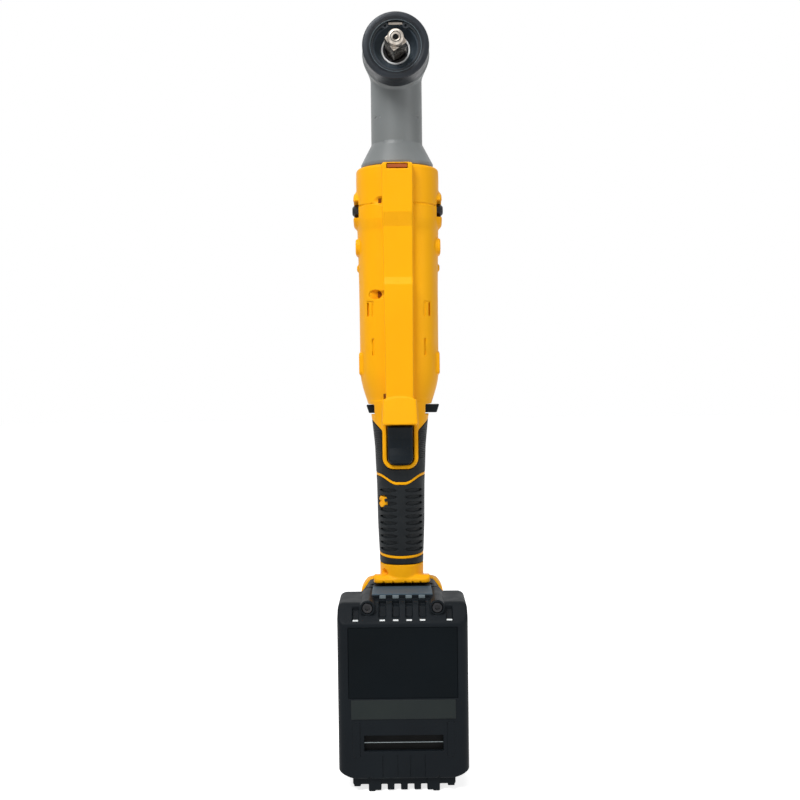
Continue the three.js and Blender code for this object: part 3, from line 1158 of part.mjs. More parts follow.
function gearboxPlate() {
  const plate = rod('z', CASE_RADIUS, [PLATE_BOTTOM, PLATE_TOP]);
  const pocketEnd = PLATE_BOTTOM + MOTOR_BEARING_THICKNESS + FIT;
  const pocket = rod('z', MOTOR_BEARING_RADIUS + FIT, [PLATE_BOTTOM - OVERRUN, pocketEnd]);
  const bore = rod('z', SUN_TIP + FIT, [PLATE_BOTTOM, PLATE_TOP + OVERRUN], [0, 0], SMALL_ROUND);
  return plate.subtract(pocket).subtract(bore);
}

function stator() {
  const body = tube('z', MOTOR_BORE_RADIUS - FIT, STATOR_INNER_RADIUS, [MOTOR_BOTTOM, MOTOR_TOP]);
  const slots = Array.from({ length: STATOR_SLOTS }, (_, number) => {
    const turn = (2 * Math.PI * number) / STATOR_SLOTS;
    const reach = STATOR_INNER_RADIUS + STATOR_SLOT_DEPTH;
    const slot = new THREE.BoxGeometry(reach, STATOR_SLOT_WIDTH, MOTOR_LENGTH + OVERRUN);
    return solidOf(slot.translate(reach / 2, 0, (MOTOR_BOTTOM + MOTOR_TOP) / 2).rotateZ(turn));
  });
  return body.subtract(joined(slots));
}

function fan() {
  const discTop = FAN_BOTTOM + FAN_DISC_THICKNESS;
  const radius = MOTOR_BORE_RADIUS - FAN_MARGIN;
  const blades = Array.from({ length: FAN_BLADES }, (_, number) => {
    const turn = (2 * Math.PI * number) / FAN_BLADES;
    const length = radius - FAN_HUB_RADIUS;
    const geometry = new THREE.BoxGeometry(length, FAN_BLADE_THICKNESS, FAN_TOP - discTop + FIT);
    const middle = (FAN_TOP + discTop - FIT) / 2;
    return solidOf(geometry.translate(FAN_HUB_RADIUS + length / 2 - FIT, 0, middle).rotateZ(turn));
  });
  const wheel = joined([
    rod('z', radius, [FAN_BOTTOM, discTop]),
    rod('z', FAN_HUB_RADIUS, [FAN_BOTTOM, FAN_TOP], [0, 0], SMALL_ROUND),
    ...blades,
  ]);
  const range = [FAN_BOTTOM - OVERRUN, FAN_TOP + OVERRUN];
  return wheel.subtract(rod('z', ROTOR_SHAFT_RADIUS + FIT, range, [0, 0], TINY_ROUND));
}

// The motor's shaft, with the first stage's sun wheel cut on its end.
function rotorShaft() {
  const shaft = rod('z', ROTOR_SHAFT_RADIUS, [WEB_BOTTOM, FIRST_PLANETS + FIT], [0, 0], TINY_ROUND);
  return shaft.add(sun([FIRST_PLANETS, FIRST_CARRIER - FIT]));
}

const ring = (radius, inner, range, across = [0, 0]) => tube('z', radius, inner, range, across, SMALL_ROUND);
const noseRing = (radius, inner, range) => tube('y', radius, inner, range, [0, DRIVE_HEIGHT], SMALL_ROUND);

// Side bolts

function sideBolt(side) {
  const seat = BODY_SIDE - BOLT_SEAT + FIT;
  const headTop = seat + BOLT_HEAD_HEIGHT;
  const tip = CHAMBER_RADIUS + FIT;
  const at = [0, BOLT_HEIGHT];
  const head = rod('x', BOLT_RADIUS, span(side, seat, headTop), at, SMALL_ROUND);
  const shank = rod('x', BOLT_SHANK_RADIUS, span(side, tip, seat + FIT), at, TINY_ROUND);
  const socket = rod('x', BOLT_SHANK_RADIUS, span(side, headTop - BOLT_SOCKET, headTop + OVERRUN), at, 6);
  return head.add(shank).subtract(socket);
}

// Battery pack

// Share of the box's height, of the corners' and of the front edge's drawing in, from its floor up.
const BOX_SHARES = [
  [0, 1, 0.3],
  [0.04, 0.12, 0],
  [0.1, 0, 0],
  [0.9, 0, 0],
  [0.93, 0, 0.12],
  [0.97, 0.05, 0.6],
  [1, 0.4, 1],
];

// The wide box round the cells, drawn in at its ends and along its upper front edge.
function cellBox() {
  const rings = BOX_SHARES.map(([height, corner, edge]) => {
    const slope = PACK_EDGE * edge;
    const depth = (BOX_DEPTH - slope) / 2;
    const level = {
      z: SHELL_BOTTOM + (SHELL_TOP - SHELL_BOTTOM) * height,
      half: PACK_HALF - PACK_CORNER * corner,
      front: depth,
      back: depth,
      squareness: PACK_SQUARENESS,
    };
    return hullRing(level).map(([x, y, z]) => [x, y + BOX_BACK - depth, z]);
  });
  return lofted(rings);
}

// The narrower case behind the box, and the smooth bar ahead of its top.
function railCaseBody() {
  const top = RAIL_CASE_HALF - RAIL_CASE_SLOPE;
  const shoulder = SHELL_TOP - PACK_BLOCK_HEIGHT / 2;
  const outline = [[RAIL_CASE_HALF, SHELL_BOTTOM], [RAIL_CASE_HALF, shoulder], [top, PACK_TOP]];
  const barBack = BOX_BACK + PACK_BLOCK_HEIGHT;
  const body = drawn('y', mirroredOutline(outline), [barBack, PACK_BACK]);
  const lower = outline.map(([x, z]) => [x, Math.min(z, PACK_TOP - PACK_BAR_DROP)]);
  const barHalf = top - PACK_BAR_INSET;
  const barRange = [barBack - PACK_BAR_DEPTH, barBack + FIT];
  const bar = block([-barHalf, barHalf], barRange, [CELLS_TOP, PACK_TOP - PACK_BAR_DROP]);
  return joined([body, drawn('y', mirroredOutline(lower), [BOX_BACK - FIT, barBack + FIT]), bar]);
}

// Ribs across the pack's lower end; the two that the tool stands on are the longest.
function endRibs() {
  const panelHalf = PACK_HALF - END_PANEL_MARGIN;
  const panelTop = SHELL_BOTTOM + PACK_FLOOR / 2;
  const caseHalf = RAIL_CASE_HALF - FIT;
  const front = [PACK_FRONT + END_RIB_INSET, BOX_BACK];
  const whole = [PACK_FRONT + END_RIB_INSET, PACK_BACK - END_RIB_BACK_INSET];
  const rib = (x, width, range, drop) => block(
    [x - width / 2, x + width / 2], range, [REST_RIB_HEIGHT - drop, REST_RIB_HEIGHT + FIT],
  );
  const restPlace = RAIL_CASE_HALF - REST_RIB_MARGIN;
  const edgePlace = panelHalf - END_RIB_WIDTH / 2;
  return joined([
    block([-panelHalf, panelHalf], front, [REST_RIB_HEIGHT, panelTop]),
    block([-caseHalf, caseHalf], whole, [REST_RIB_HEIGHT, panelTop]),
    ...[-1, 0, 1].map((step) => rib(step * END_RIB_PITCH, END_RIB_WIDTH, whole, END_RIB_HEIGHT)),
    ...[-1, 1].map((side) => rib(side * restPlace, END_RIB_WIDTH, whole, REST_RIB_HEIGHT)),
    ...[-1, 1].map((side) => rib(side * edgePlace, END_RIB_WIDTH, front, SIDE_RIB_HEIGHT)),
  ]);
}

const PACK_SCREW_HEIGHT = SHELL_TOP - PACK_SCREW_DROP;
const PACK_SCREW_PLACE = RAIL_CASE_HALF - PACK_SCREW_MARGIN;
const PACK_SCREW_FACE = PACK_FRONT + PACK_SCREW_INSET;

// Round bosses that hold the pack's screws, on the slope of its upper edge.
const packScrewBoss = (side) => rod(
  'y', PACK_SCREW_RADIUS + FIT + PACK_SCREW_WALL, [PACK_SCREW_FACE, BOX_BACK],
  [side * PACK_SCREW_PLACE, PACK_SCREW_HEIGHT], SMALL_ROUND,
);

// A pack screw's head and shank, or with a margin the hole that it goes in.
function packScrew(side, margin) {
  const at = [side * PACK_SCREW_PLACE, PACK_SCREW_HEIGHT];
  const seat = PACK_SCREW_FACE + PACK_SCREW_HEAD_HEIGHT + FIT;
  const face = margin > 0 ? PACK_FRONT - OVERRUN : seat - PACK_SCREW_HEAD_HEIGHT;
  const shankRange = [seat, seat + PACK_SCREW_LENGTH + margin];
  const head = rod('y', PACK_SCREW_RADIUS + margin, [face, seat + margin], at, SMALL_ROUND);
  const whole = head.add(rod('y', PACK_SCREW_SHANK_RADIUS + margin, shankRange, at, TINY_ROUND));
  if (margin > 0) return whole;
  return whole.subtract(rod('y', PACK_SCREW_SHANK_RADIUS, [face - OVERRUN, face + FIT + FIT], at, HEXAGON));
}

// What is cut into the pack's front: label recess, grille, air slots and screw holes.
function packFrontCuts() {
  const recess = (margin, bottom, height, depth) => block(
    [margin - PACK_HALF, PACK_HALF - margin],
    [PACK_FRONT - OVERRUN, PACK_FRONT + depth],
    [bottom, bottom + height],
  );
  const slotHalf = PACK_SLOT_WIDTH / 2;
  const slots = Array.from({ length: PACK_SLOT_COUNT }, (_, step) => {
    const x = (step - (PACK_SLOT_COUNT - 1) / 2) * PACK_SLOT_PITCH;
    const across = [x - slotHalf, x + slotHalf];
    const slope = [PACK_FRONT - OVERRUN, PACK_FRONT + PACK_SLOT_DEPTH];
    const flat = [PACK_FRONT - OVERRUN, PACK_FRONT + PACK_SLOT_REACH];
    const lower = block(across, slope, [SHELL_TOP - PACK_SLOT_LENGTH, SHELL_TOP + OVERRUN]);
    return lower.add(block(across, flat, [SHELL_TOP - PACK_SLOT_DEPTH, SHELL_TOP + OVERRUN]));
  });
  return joined([
    recess(LABEL_MARGIN, SHELL_TOP - LABEL_TOP_MARGIN - LABEL_HEIGHT, LABEL_HEIGHT, LABEL_DEPTH),
    recess(GRILLE_MARGIN, SHELL_BOTTOM + GRILLE_RISE, GRILLE_HEIGHT, GRILLE_DEPTH),
    ...slots, packScrew(1, FIT), packScrew(-1, FIT),
  ]);
}

function packRails() {
  const neck = RAIL_NECK_WIDTH / 2;
  const head = RAIL_HEAD_WIDTH / 2;
  const range = [RAIL_START, RAIL_TOP];
  const web = block([-neck, neck], [PACK_BACK - FIT, RAIL_NECK_BACK + FIT], range);
  return web.add(block([-head, head], [RAIL_NECK_BACK, RAIL_BACK], range));
}

// The slot that the latch moves in, at the pack's lower end.
function latchSlot() {
  const half = LATCH_WIDTH / 2 + FIT;
  const front = PACK_BACK - LATCH_STEM_DEPTH - LATCH_TRAVEL - FIT;
  return block([-half, half], [front, RAIL_BACK + OVERRUN], [-OVERRUN, LATCH_TOP + FIT]);
}

// Room for the cells, and the room behind it for the board and the latch.
const ROOM_HALF = RAIL_CASE_HALF - PACK_WALL;
const packRooms = () => joined([
  block([-CELLS_HALF, CELLS_HALF], [CELLS_FRONT, CELLS_BACK], [CELLS_BOTTOM, CELLS_TOP]),
  block([-ROOM_HALF, ROOM_HALF], [CELLS_BACK - FIT, PACK_BACK - PACK_WALL], [CELLS_BOTTOM, CELLS_TOP]),
]);

// The front tub round the cells and the rail case behind it, parted at the cells' back.
function packHalves() {
  const solid = joined([cellBox(), railCaseBody(), endRibs(), bothSides(packScrewBoss), packRails()]);
  const slots = joined(bladePlaces.map((x) => blade(x, FIT)));
  const open = solid.subtract(joined([packRooms(), packFrontCuts(), latchSlot(), slots]));
  const part = (range) => open.intersect(block([-FAR, FAR], range, [-OVERRUN, DRIVE_HEIGHT]));
  return { tub: part([-FAR, CELLS_BACK - FIT / 2]), railCase: part([CELLS_BACK + FIT / 2, FAR]) };
}

// A row of cells lying across the pack, joined by the strips welded to their ends.
function cellRow(row) {
  const y = CELLS_FRONT + CELL_PITCH / 2 + CELL_PITCH * row;
  const half = CELL_LENGTH / 2;
  const lowest = CELLS_BOTTOM + CELL_PITCH / 2;
  const heights = Array.from({ length: CELLS_IN_ROW }, (_, step) => lowest + CELL_PITCH * step);
  const cells = heights.map((z) => rod('x', CELL_DIAMETER / 2, [-half, half], [y, z], SMALL_ROUND));
  const stripHalf = CELL_STRIP_WIDTH / 2;
  const strip = (side) => block(
    span(side, half - FIT, half + CELL_STRIP_THICKNESS),
    [y - stripHalf, y + stripHalf],
    [lowest, heights.at(-1)],
  );
  return joined([...cells, bothSides(strip)]);
}

function latch() {
  const half = LATCH_WIDTH / 2;
  const stemFront = PACK_BACK - LATCH_STEM_DEPTH;
  const buttonFace = PACK_BACK - LATCH_BUTTON_RECESS;
  const hook = block([-half, half], [stemFront, RAIL_BACK + LATCH_HOOK_RISE], [LATCH_BOTTOM, LATCH_TOP]);
  const button = block(
    [-half, half], [buttonFace - LATCH_BUTTON_DEPTH, buttonFace],
    [LATCH_BOTTOM - LATCH_BUTTON_HEIGHT, LATCH_BOTTOM + FIT],
  );
  return hook.add(button);
}

// The whole tool

const shell = halves(housing());
place('housing_left', shell.left, 'yellow');
place('housing_right', shell.right, 'yellow');
const rubber = halves(grip());
place('grip_left', rubber.left, 'rubber');
place('grip_right', rubber.right, 'rubber');
Object.entries(SCREWS).forEach(([name, at]) => place(name, screw(at), 'blackSteel'));
place('side_bolt_left', sideBolt(-1), 'blackSteel');
place('side_bolt_right', sideBolt(1), 'blackSteel');

place('gear_case', gearCase(), 'casting');
place('nose_cap', noseCap(), 'cap');
place('retaining_ring', retainingRing(), 'blackSteel');
const bushRange = [CAP_FLOOR - BUSH_PROUD, NOSE_BEARING_FRONT - FIT];
place('nose_bush', noseRing(BUSH_RADIUS, BUSH_INNER_RADIUS, bushRange), 'steel');
const noseRange = [NOSE_BEARING_FRONT, SPIGOT_END];
place('nose_bearing', noseRing(NOSE_BEARING_RADIUS, BUSH_INNER_RADIUS, noseRange), 'steel');
const tailRange = [TAIL_BEARING_FRONT, TAIL_BEARING_BACK];
place('tail_bearing', noseRing(TAIL_BEARING_RADIUS, ANVIL_TAIL_RADIUS + FIT, tailRange), 'steel');
place('drive_square', anvil(), 'steel');
place('friction_ring', frictionRing(), 'steel');
place('bevel_gear', bevelGear(), 'steel');

const shaftBearing = (bottom) => ring(
  SHAFT_BEARING_RADIUS, DRIVE_SHAFT_RADIUS + FIT, [bottom, bottom + SHAFT_BEARING_THICKNESS],
);
place('drive_shaft', driveShaft(), 'steel');
place('upper_shaft_bearing', shaftBearing(UPPER_BEARING_TOP - SHAFT_BEARING_THICKNESS), 'steel');
place('lower_shaft_bearing', shaftBearing(HUB_TOP + FIT), 'steel');
place('second_carrier', secondCarrier(), 'steel');
const secondSun = sun([FIRST_CARRIER, SECOND_CARRIER - FIT]);
place('first_carrier', carrier(FIRST_PLANETS, FIRST_CARRIER).add(secondSun), 'steel');
place('second_ring_gear', ringGear(SECOND_PLANETS, CHAMBER_TOP - FIT), 'steel');
place('first_ring_gear', ringGear(CHAMBER_BOTTOM, SECOND_PLANETS - FIT), 'steel');
for (let number = 0; number < PLANET_COUNT; number += 1) {
  place(`first_planet_${number + 1}`, planet(number, FIRST_PLANETS, FIRST_STAGE_FACE), 'bronze');
  place(`second_planet_${number + 1}`, planet(number, SECOND_PLANETS, SECOND_STAGE_FACE), 'bronze');
}

place('gearbox_plate', gearboxPlate(), 'casting');
place('stator', stator(), 'copper');
const rotorRadius = STATOR_INNER_RADIUS - AIR_GAP;
place('rotor', ring(rotorRadius, ROTOR_SHAFT_RADIUS + FIT, [MOTOR_BOTTOM, MOTOR_TOP]), 'steel');
place('rotor_shaft', rotorShaft(), 'steel');
place('fan', fan(), 'packBlack');
const motorBearing = (bottom) => ring(
  MOTOR_BEARING_RADIUS, ROTOR_SHAFT_RADIUS + FIT, [bottom, bottom + MOTOR_BEARING_THICKNESS],
);
place('front_motor_bearing', motorBearing(PLATE_BOTTOM), 'steel');
place('rear_motor_bearing', motorBearing(WEB_BOTTOM), 'steel');
place('controller', controller(), 'board');
place('switch', switchBox(), 'packBlack');
place('trigger', trigger(), 'slate');
place('selector', selector(), 'slate');
const lightHalf = LIGHT_WIDTH / 2 - FIT;
const lightRange = [LIGHT_BOTTOM + FIT, LIGHT_TOP - FIT];
place('light_lens', block([-lightHalf, lightHalf], [LIGHT_LENS_FRONT, LIGHT_LENS_BACK], lightRange), 'lens');
place('light_board', block([-lightHalf, lightHalf], [LIGHT_BOARD_FRONT, LIGHT_BACK], lightRange), 'board');
place('terminal_block', terminalBlock(), 'packBlack');
place('positive_wire', wire(1, WIRE_RADIUS), 'red');
place('negative_wire', wire(-1, WIRE_RADIUS), 'packBlack');

const packShells = packHalves();
place('pack_tub', packShells.tub, 'packBlack');
place('pack_rail_case', packShells.railCase, 'packBlack');
place('front_cell_row', cellRow(0), 'cell');
place('rear_cell_row', cellRow(1), 'cell');
const boardHalf = ROOM_HALF - FIT;
const boardRange = [CELLS_BACK + FIT, CELLS_BACK + FIT + PACK_BOARD_THICKNESS];
const boardHeights = [CELLS_BOTTOM + FIT, CELLS_TOP - FIT];
place('pack_board', block([-boardHalf, boardHalf], boardRange, boardHeights), 'board');
place('latch', latch(), 'slate');
place('left_pack_screw', packScrew(-1, 0), 'blackSteel');
place('right_pack_screw', packScrew(1, 0), 'blackSteel');

// The origin is under the middle of the whole tool
const bounds = new THREE.Box3().setFromObject(tool);
tool.position.y = -(bounds.min.y + bounds.max.y) / 2;

export default tool;
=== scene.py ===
"""Looks of a cordless angle wrench: moulded shells, turned metal and a slide-on battery pack.

Shapes are written as fields, in millimetres: a field is below zero inside a piece. The grip's
axis is x = 0, y = 0, z is the height above the floor, and the drive points to -y.
"""

import functools
import json
import math

import bmesh
import bpy
import numpy as np
from mathutils import Matrix, Vector


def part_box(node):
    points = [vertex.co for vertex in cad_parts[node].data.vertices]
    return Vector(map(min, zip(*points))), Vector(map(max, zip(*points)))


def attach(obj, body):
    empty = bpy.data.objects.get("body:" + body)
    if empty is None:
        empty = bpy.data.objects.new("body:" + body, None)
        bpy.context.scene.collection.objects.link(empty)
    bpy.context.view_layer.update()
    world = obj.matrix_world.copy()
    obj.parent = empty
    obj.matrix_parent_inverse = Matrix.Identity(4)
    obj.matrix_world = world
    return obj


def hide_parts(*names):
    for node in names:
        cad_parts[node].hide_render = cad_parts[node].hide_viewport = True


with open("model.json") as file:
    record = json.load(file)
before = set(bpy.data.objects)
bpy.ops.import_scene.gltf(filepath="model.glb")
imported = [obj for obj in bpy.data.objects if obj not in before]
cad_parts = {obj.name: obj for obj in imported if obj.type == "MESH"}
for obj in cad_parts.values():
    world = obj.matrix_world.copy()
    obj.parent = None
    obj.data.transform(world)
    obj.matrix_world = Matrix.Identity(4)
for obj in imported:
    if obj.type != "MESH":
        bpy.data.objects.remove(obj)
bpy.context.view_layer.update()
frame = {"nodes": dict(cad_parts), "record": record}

MM = 0.001
# The grip's axis stands on this y in the frame.
AXIS_Y = sum(corner.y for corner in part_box("drive_shaft")) / 2 / MM

# Heights shared by several pieces
FOOT_LOW = 30.7
PACK_LOW = 9.3
PACK_HIGH = 109.3
BLOCK_HIGH = 112.7
FLANGE_LOW = 114.6
FLANGE_HIGH = 119.3
GRIP_LOW = 126.0
GRIP_HIGH = 217.9
TRIGGER_LOW = 188.0
TRIGGER_HIGH = 211.7
SELECTOR_LOW = 219.1
SELECTOR_HIGH = 224.1
BODY_LOW = 219.0
BODY_HIGH = 369.9
FLARE_LOW = 370.2
BOLT_Z = 344.6
DRIVE_Z = 437.0

# Depths shared by several pieces
PACK_FRONT = -57.0
BOX_BACK = -12.6
PACK_SPLIT = -15.1
PACK_BACK = 8.0
FOOT_BACK = 22.3
HEAD_BACK = 22.3
HEAD_FRONT = -16.2
DRIVE_TIP = -51.7

SIDES = ((-1, "left"), (1, "right"))
FAR = 60.0  # a place outside every piece, seen from the axis
BEYOND = 5.0  # how far a cut runs out of a piece
SEAM = 0.07  # width of the gap between the pack's two parts
SEAM_ROUND = 0.4

# Height, half width, front, back and squareness of the body
BODY_LEVELS = [
    (219.0, 17.8, 19.4, 19.5, 2.3),
    (225.0, 19.8, 20.6, 20.6, 2.3),
    (229.0, 21.1, 21.3, 21.3, 2.35),
    (235.0, 23.0, 22.4, 22.7, 2.4),
    (241.0, 24.2, 23.2, 24.0, 2.5),
    (246.0, 24.4, 23.7, 24.4, 2.55),
    (262.0, 24.4, 24.0, 24.9, 2.6),
    (297.0, 24.5, 24.0, 25.0, 2.6),
    (322.0, 24.9, 24.0, 25.0, 2.5),
    (329.0, 25.1, 24.0, 25.0, 2.45),
    (335.5, 25.2, 25.3, 25.0, 2.35),
    (352.0, 25.4, 25.4, 25.1, 2.2),
    (362.0, 25.6, 25.4, 25.2, 2.1),
    (370.0, 25.4, 25.2, 25.0, 2.0),
]
# The same for the handle
HANDLE_LEVELS = [
    (112.0, 13.5, 15.8, 16.6, 2.3),
    (126.0, 13.6, 15.9, 16.7, 2.3),
    (131.0, 13.75, 16.2, 16.9, 2.3),
    (138.7, 14.1, 16.6, 17.5, 2.3),
    (151.4, 14.6, 17.1, 18.0, 2.3),
    (164.0, 14.75, 17.6, 18.4, 2.3),
    (176.6, 14.95, 17.6, 18.4, 2.3),
    (186.1, 15.45, 17.7, 18.4, 2.3),
    (198.6, 15.85, 17.95, 18.5, 2.3),
    (208.1, 16.8, 18.5, 18.9, 2.3),
    (216.9, 17.7, 19.3, 19.5, 2.3),
    (221.0, 18.5, 19.9, 19.9, 2.3),
    (227.0, 20.0, 20.6, 20.6, 2.3),
]
LEVEL_SOFTENING = 5.0  # corners between levels are smoothed over this length each way


# Field tools

def soft_levels(levels):
    """The levels' values at every millimetre, with their corners smoothed."""
    table = np.array(levels, np.float32)
    heights = np.arange(table[0, 0] - LEVEL_SOFTENING, table[-1, 0] + LEVEL_SOFTENING, 1.0)
    window = np.hanning(int(LEVEL_SOFTENING * 2) + 1)
    window /= window.sum()
    columns = [np.interp(heights, table[:, 0], table[:, place]) for place in range(1, 5)]
    smooth = [np.convolve(np.pad(c, len(window) // 2, mode="edge"), window, "valid") for c in columns]
    return heights, smooth


SOFT_BODY = soft_levels(BODY_LEVELS)
SOFT_HANDLE = soft_levels(HANDLE_LEVELS)


def tapered(x, y, z, levels):
    """An oval column whose width, depths and squareness change with height."""
    heights, (half, front, back, square) = levels
    n = np.interp(z, heights, square).astype(np.float32)
    a = np.interp(z, heights, half).astype(np.float32)
    f = np.interp(z, heights, front).astype(np.float32)
    b = np.interp(z, heights, back).astype(np.float32)
    depth = np.where(y < 0, f, b)
    across = (np.abs(x) / a) ** n + (np.abs(y) / depth) ** n
    return (across ** (1 / n) - 1) * np.minimum(a, f)


def join(a, b, k=0.0):
    """Both shapes together, with a fillet of about k where they meet."""
    if k <= 0:
        return np.minimum(a, b)
    h = np.maximum(k - np.abs(a - b), 0) / k
    return np.minimum(a, b) - h * h * k / 4


def meet(a, b, k=0.0):
    """Only what both shapes hold, with a rounded edge of about k."""
    return -join(-a, -b, k)


def carve(a, b, k=0.0):
    """The first shape without the second."""
    return meet(a, -b, k)


def within(*fields):
    """Only what all these fields hold, with sharp edges."""
    return functools.reduce(np.maximum, fields)


def either(*fields):
    """What any of these fields holds, with sharp edges."""
    return functools.reduce(np.minimum, fields)


def square2(u, v, half_u, half_v, r=0.0):
    """A rounded rectangle in two directions."""
    p, q = np.abs(u) - (half_u - r), np.abs(v) - (half_v - r)
    outside = np.sqrt(np.maximum(p, 0) ** 2 + np.maximum(q, 0) ** 2)
    return outside + np.minimum(np.maximum(p, q), 0) - r


def upright(u, z, half, low, high, r=0.0):
    """A rounded rectangle that stands from one height to another."""
    return square2(u, z - (low + high) / 2, half, (high - low) / 2, r)


def slab(u, low, high):
    """Everything between two places along one direction."""
    return np.maximum(low - u, u - high)


def prism(flat, u, low, high, r=0.0):
    """A flat field drawn out between two places, with edges rounded by r."""
    p, q = flat + r, slab(u, low, high) + r
    outside = np.sqrt(np.maximum(p, 0) ** 2 + np.maximum(q, 0) ** 2)
    return outside + np.minimum(np.maximum(p, q), 0) - r


def disc(u, v, radius):
    """A circle in two directions."""
    return np.sqrt(u * u + v * v) - radius


def brick(x, y, z, low, high, r=0.0):
    """A box between two corners, with rounded edges."""
    middle = [(a + b) / 2 for a, b in zip(low, high)]
    half = [(b - a) / 2 for a, b in zip(low, high)]
    flat = square2(x - middle[0], y - middle[1], half[0], half[1], r)
    return prism(flat, z, low[2], high[2], r)


def even_brick(x, y, z, half, depths, heights, r=0.0):
    """A box as wide to both sides of the middle plane."""
    return brick(x, y, z, (-half, depths[0], heights[0]), (half, depths[1], heights[1]), r)


def edge_line(u, v, start, end):
    """Distance on the right of a line from start to end in two directions."""
    along = (end[0] - start[0], end[1] - start[1])
    length = math.hypot(*along)
    return ((u - start[0]) * along[1] - (v - start[1]) * along[0]) / length


# From a field to a mesh

# Shares of the grid's step
PROBE = 0.25
LONGEST_MOVE = 0.5
RIM_WIDTH = 0.6
RIM_DEPTH = 0.75
OUTER_SKIN = 0.1
# Smallest lengths and squares of a slope that are divided by
SHORTEST = 1e-6
FLATTEST = 1e-4
FLATTEST_RIM = 1e-3
SHARP_ANGLE = math.radians(28)

CORNERS = [(i, j, k) for i in (0, 1) for j in (0, 1) for k in (0, 1)]
EDGES = [(a, b) for a in CORNERS for b in CORNERS if sum(b) == sum(a) + 1
         and sum(abs(p - q) for p, q in zip(a, b)) == 1]


def crossing_points(values, cells):
    """Each cell's mean point where the field changes sign along its edges."""
    total = np.zeros(cells.shape, np.float32)
    hits = np.zeros(len(cells), np.float32)
    corner = {c: values[tuple((cells + c).T)] for c in CORNERS}
    for a, b in EDGES:
        va, vb = corner[a], corner[b]
        crossed = (va < 0) != (vb < 0)
        share = np.where(crossed, va / np.where(crossed, va - vb, 1), 0)
        point = np.array(a, np.float32) + share[:, None] * (np.array(b) - np.array(a))
        total += np.where(crossed[:, None], point, 0)
        hits += crossed
    return cells + total / hits[:, None]


def net_faces(inside, numbers):
    """Four-sided faces round each grid edge that the surface crosses, facing out."""
    faces = []
    for axis in range(3):
        u, v = (axis + 1) % 3, (axis + 2) % 3
        near = [slice(None)] * 3
        near[axis] = slice(None, -1)
        far = [slice(None)] * 3
        far[axis] = slice(1, None)
        changed = inside[tuple(near)] != inside[tuple(far)]
        edges = np.argwhere(changed)
        out = inside[tuple(edges.T)]
        corners = []
        for du, dv in ((-1, -1), (0, -1), (0, 0), (-1, 0)):
            cell = edges.copy()
            cell[:, u] += du
            cell[:, v] += dv
            corners.append(numbers[tuple(cell.T)])
        quads = np.stack(corners, 1)
        quads[~out] = quads[~out][:, ::-1]
        faces.append(quads)
    return np.concatenate(faces)


def slope(field, points, reach):
    """The field's gradient at points."""
    parts = []
    for axis in range(3):
        shift = np.zeros(3, np.float32)
        shift[axis] = reach
        ahead, behind = points + shift, points - shift
        parts.append((field(*ahead.T) - field(*behind.T)) / (2 * reach))
    return np.stack(parts, 1)


def moved_onto(field, points, gradient, step, flattest):
    """Points moved along the gradient to where the field is about zero."""
    steep = np.maximum((gradient ** 2).sum(1), flattest)
    move = -(field(*points.T) / steep)[:, None] * gradient
    return points + np.clip(move, -step * LONGEST_MOVE, step * LONGEST_MOVE)


def directions(field, points, step):
    """The field's gradient at points, brought to length one."""
    gradient = slope(field, points, step * PROBE)
    return gradient / np.maximum(np.linalg.norm(gradient, axis=1), SHORTEST)[:, None]


def settled(field, points, step):
    """Points moved onto the field's surface, and the surface's directions there."""
    for _ in range(2):
        points = moved_onto(field, points, slope(field, points, step * PROBE), step, FLATTEST)
    return points, directions(field, points, step)


def sculpt(name, field, low, high, step, body, slot, *replaced, uncut=None):
    """A piece whose surface is where its field is zero, between two corners in millimetres.

    A half of a moulding passes its uncut field, so that the two halves meet at x = 0 without a step.
    """
    axes = [np.arange(round(a / step) - 1, round(b / step) + 3) * np.float32(step)
            for a, b in zip(low, high)]
    x, y, z = np.ix_(*axes)
    shape = tuple(len(axis) for axis in axes)
    values = np.ascontiguousarray(np.broadcast_to(field(x, y, z), shape)).astype(np.float32)
    values = np.pad(values[1:-1, 1:-1, 1:-1], 1, constant_values=step)
    inside = values < 0
    count = sum(inside[i:shape[0] - 1 + i, j:shape[1] - 1 + j, k:shape[2] - 1 + k].astype(np.int8)
                for i, j, k in CORNERS)
    mixed = (count > 0) & (count < 8)
    cells = np.argwhere(mixed)
    numbers = np.full(mixed.shape, -1, np.int32)
    numbers[mixed] = np.arange(len(cells))
    start = np.array([axis[0] for axis in axes], np.float32)
    points = (crossing_points(values, cells) * step + start).astype(np.float32)
    points, normals = settled(field, points, step)
    if uncut:
        points, normals = matched_seam(uncut, points, normals, step)
    faces = net_faces(inside, numbers)
    return made(name, points, faces, body, slot, replaced, normals)


def matched_seam(uncut, points, normals, step):
    """Rim points of a half moved onto the parting plane and the uncut surface, shaded as one piece."""
    near_plane = np.abs(points[:, 0]) < step * RIM_WIDTH
    rim = near_plane & (np.abs(uncut(*points.T)) < step * RIM_DEPTH)
    moved = points[rim]
    moved[:, 0] = 0
    for _ in range(3):
        gradient = slope(uncut, moved, step * PROBE)
        gradient[:, 0] = 0
        moved = moved_onto(uncut, moved, gradient, step, FLATTEST_RIM)
    points[rim] = moved
    outer = np.abs(uncut(*points.T)) < step * OUTER_SKIN
    normals[outer] = directions(uncut, points[outer], step)
    return points, normals


def placed(name, data):
    """A new object in the scene."""
    piece = bpy.data.objects.new(name, data)
    bpy.context.scene.collection.objects.link(piece)
    return piece


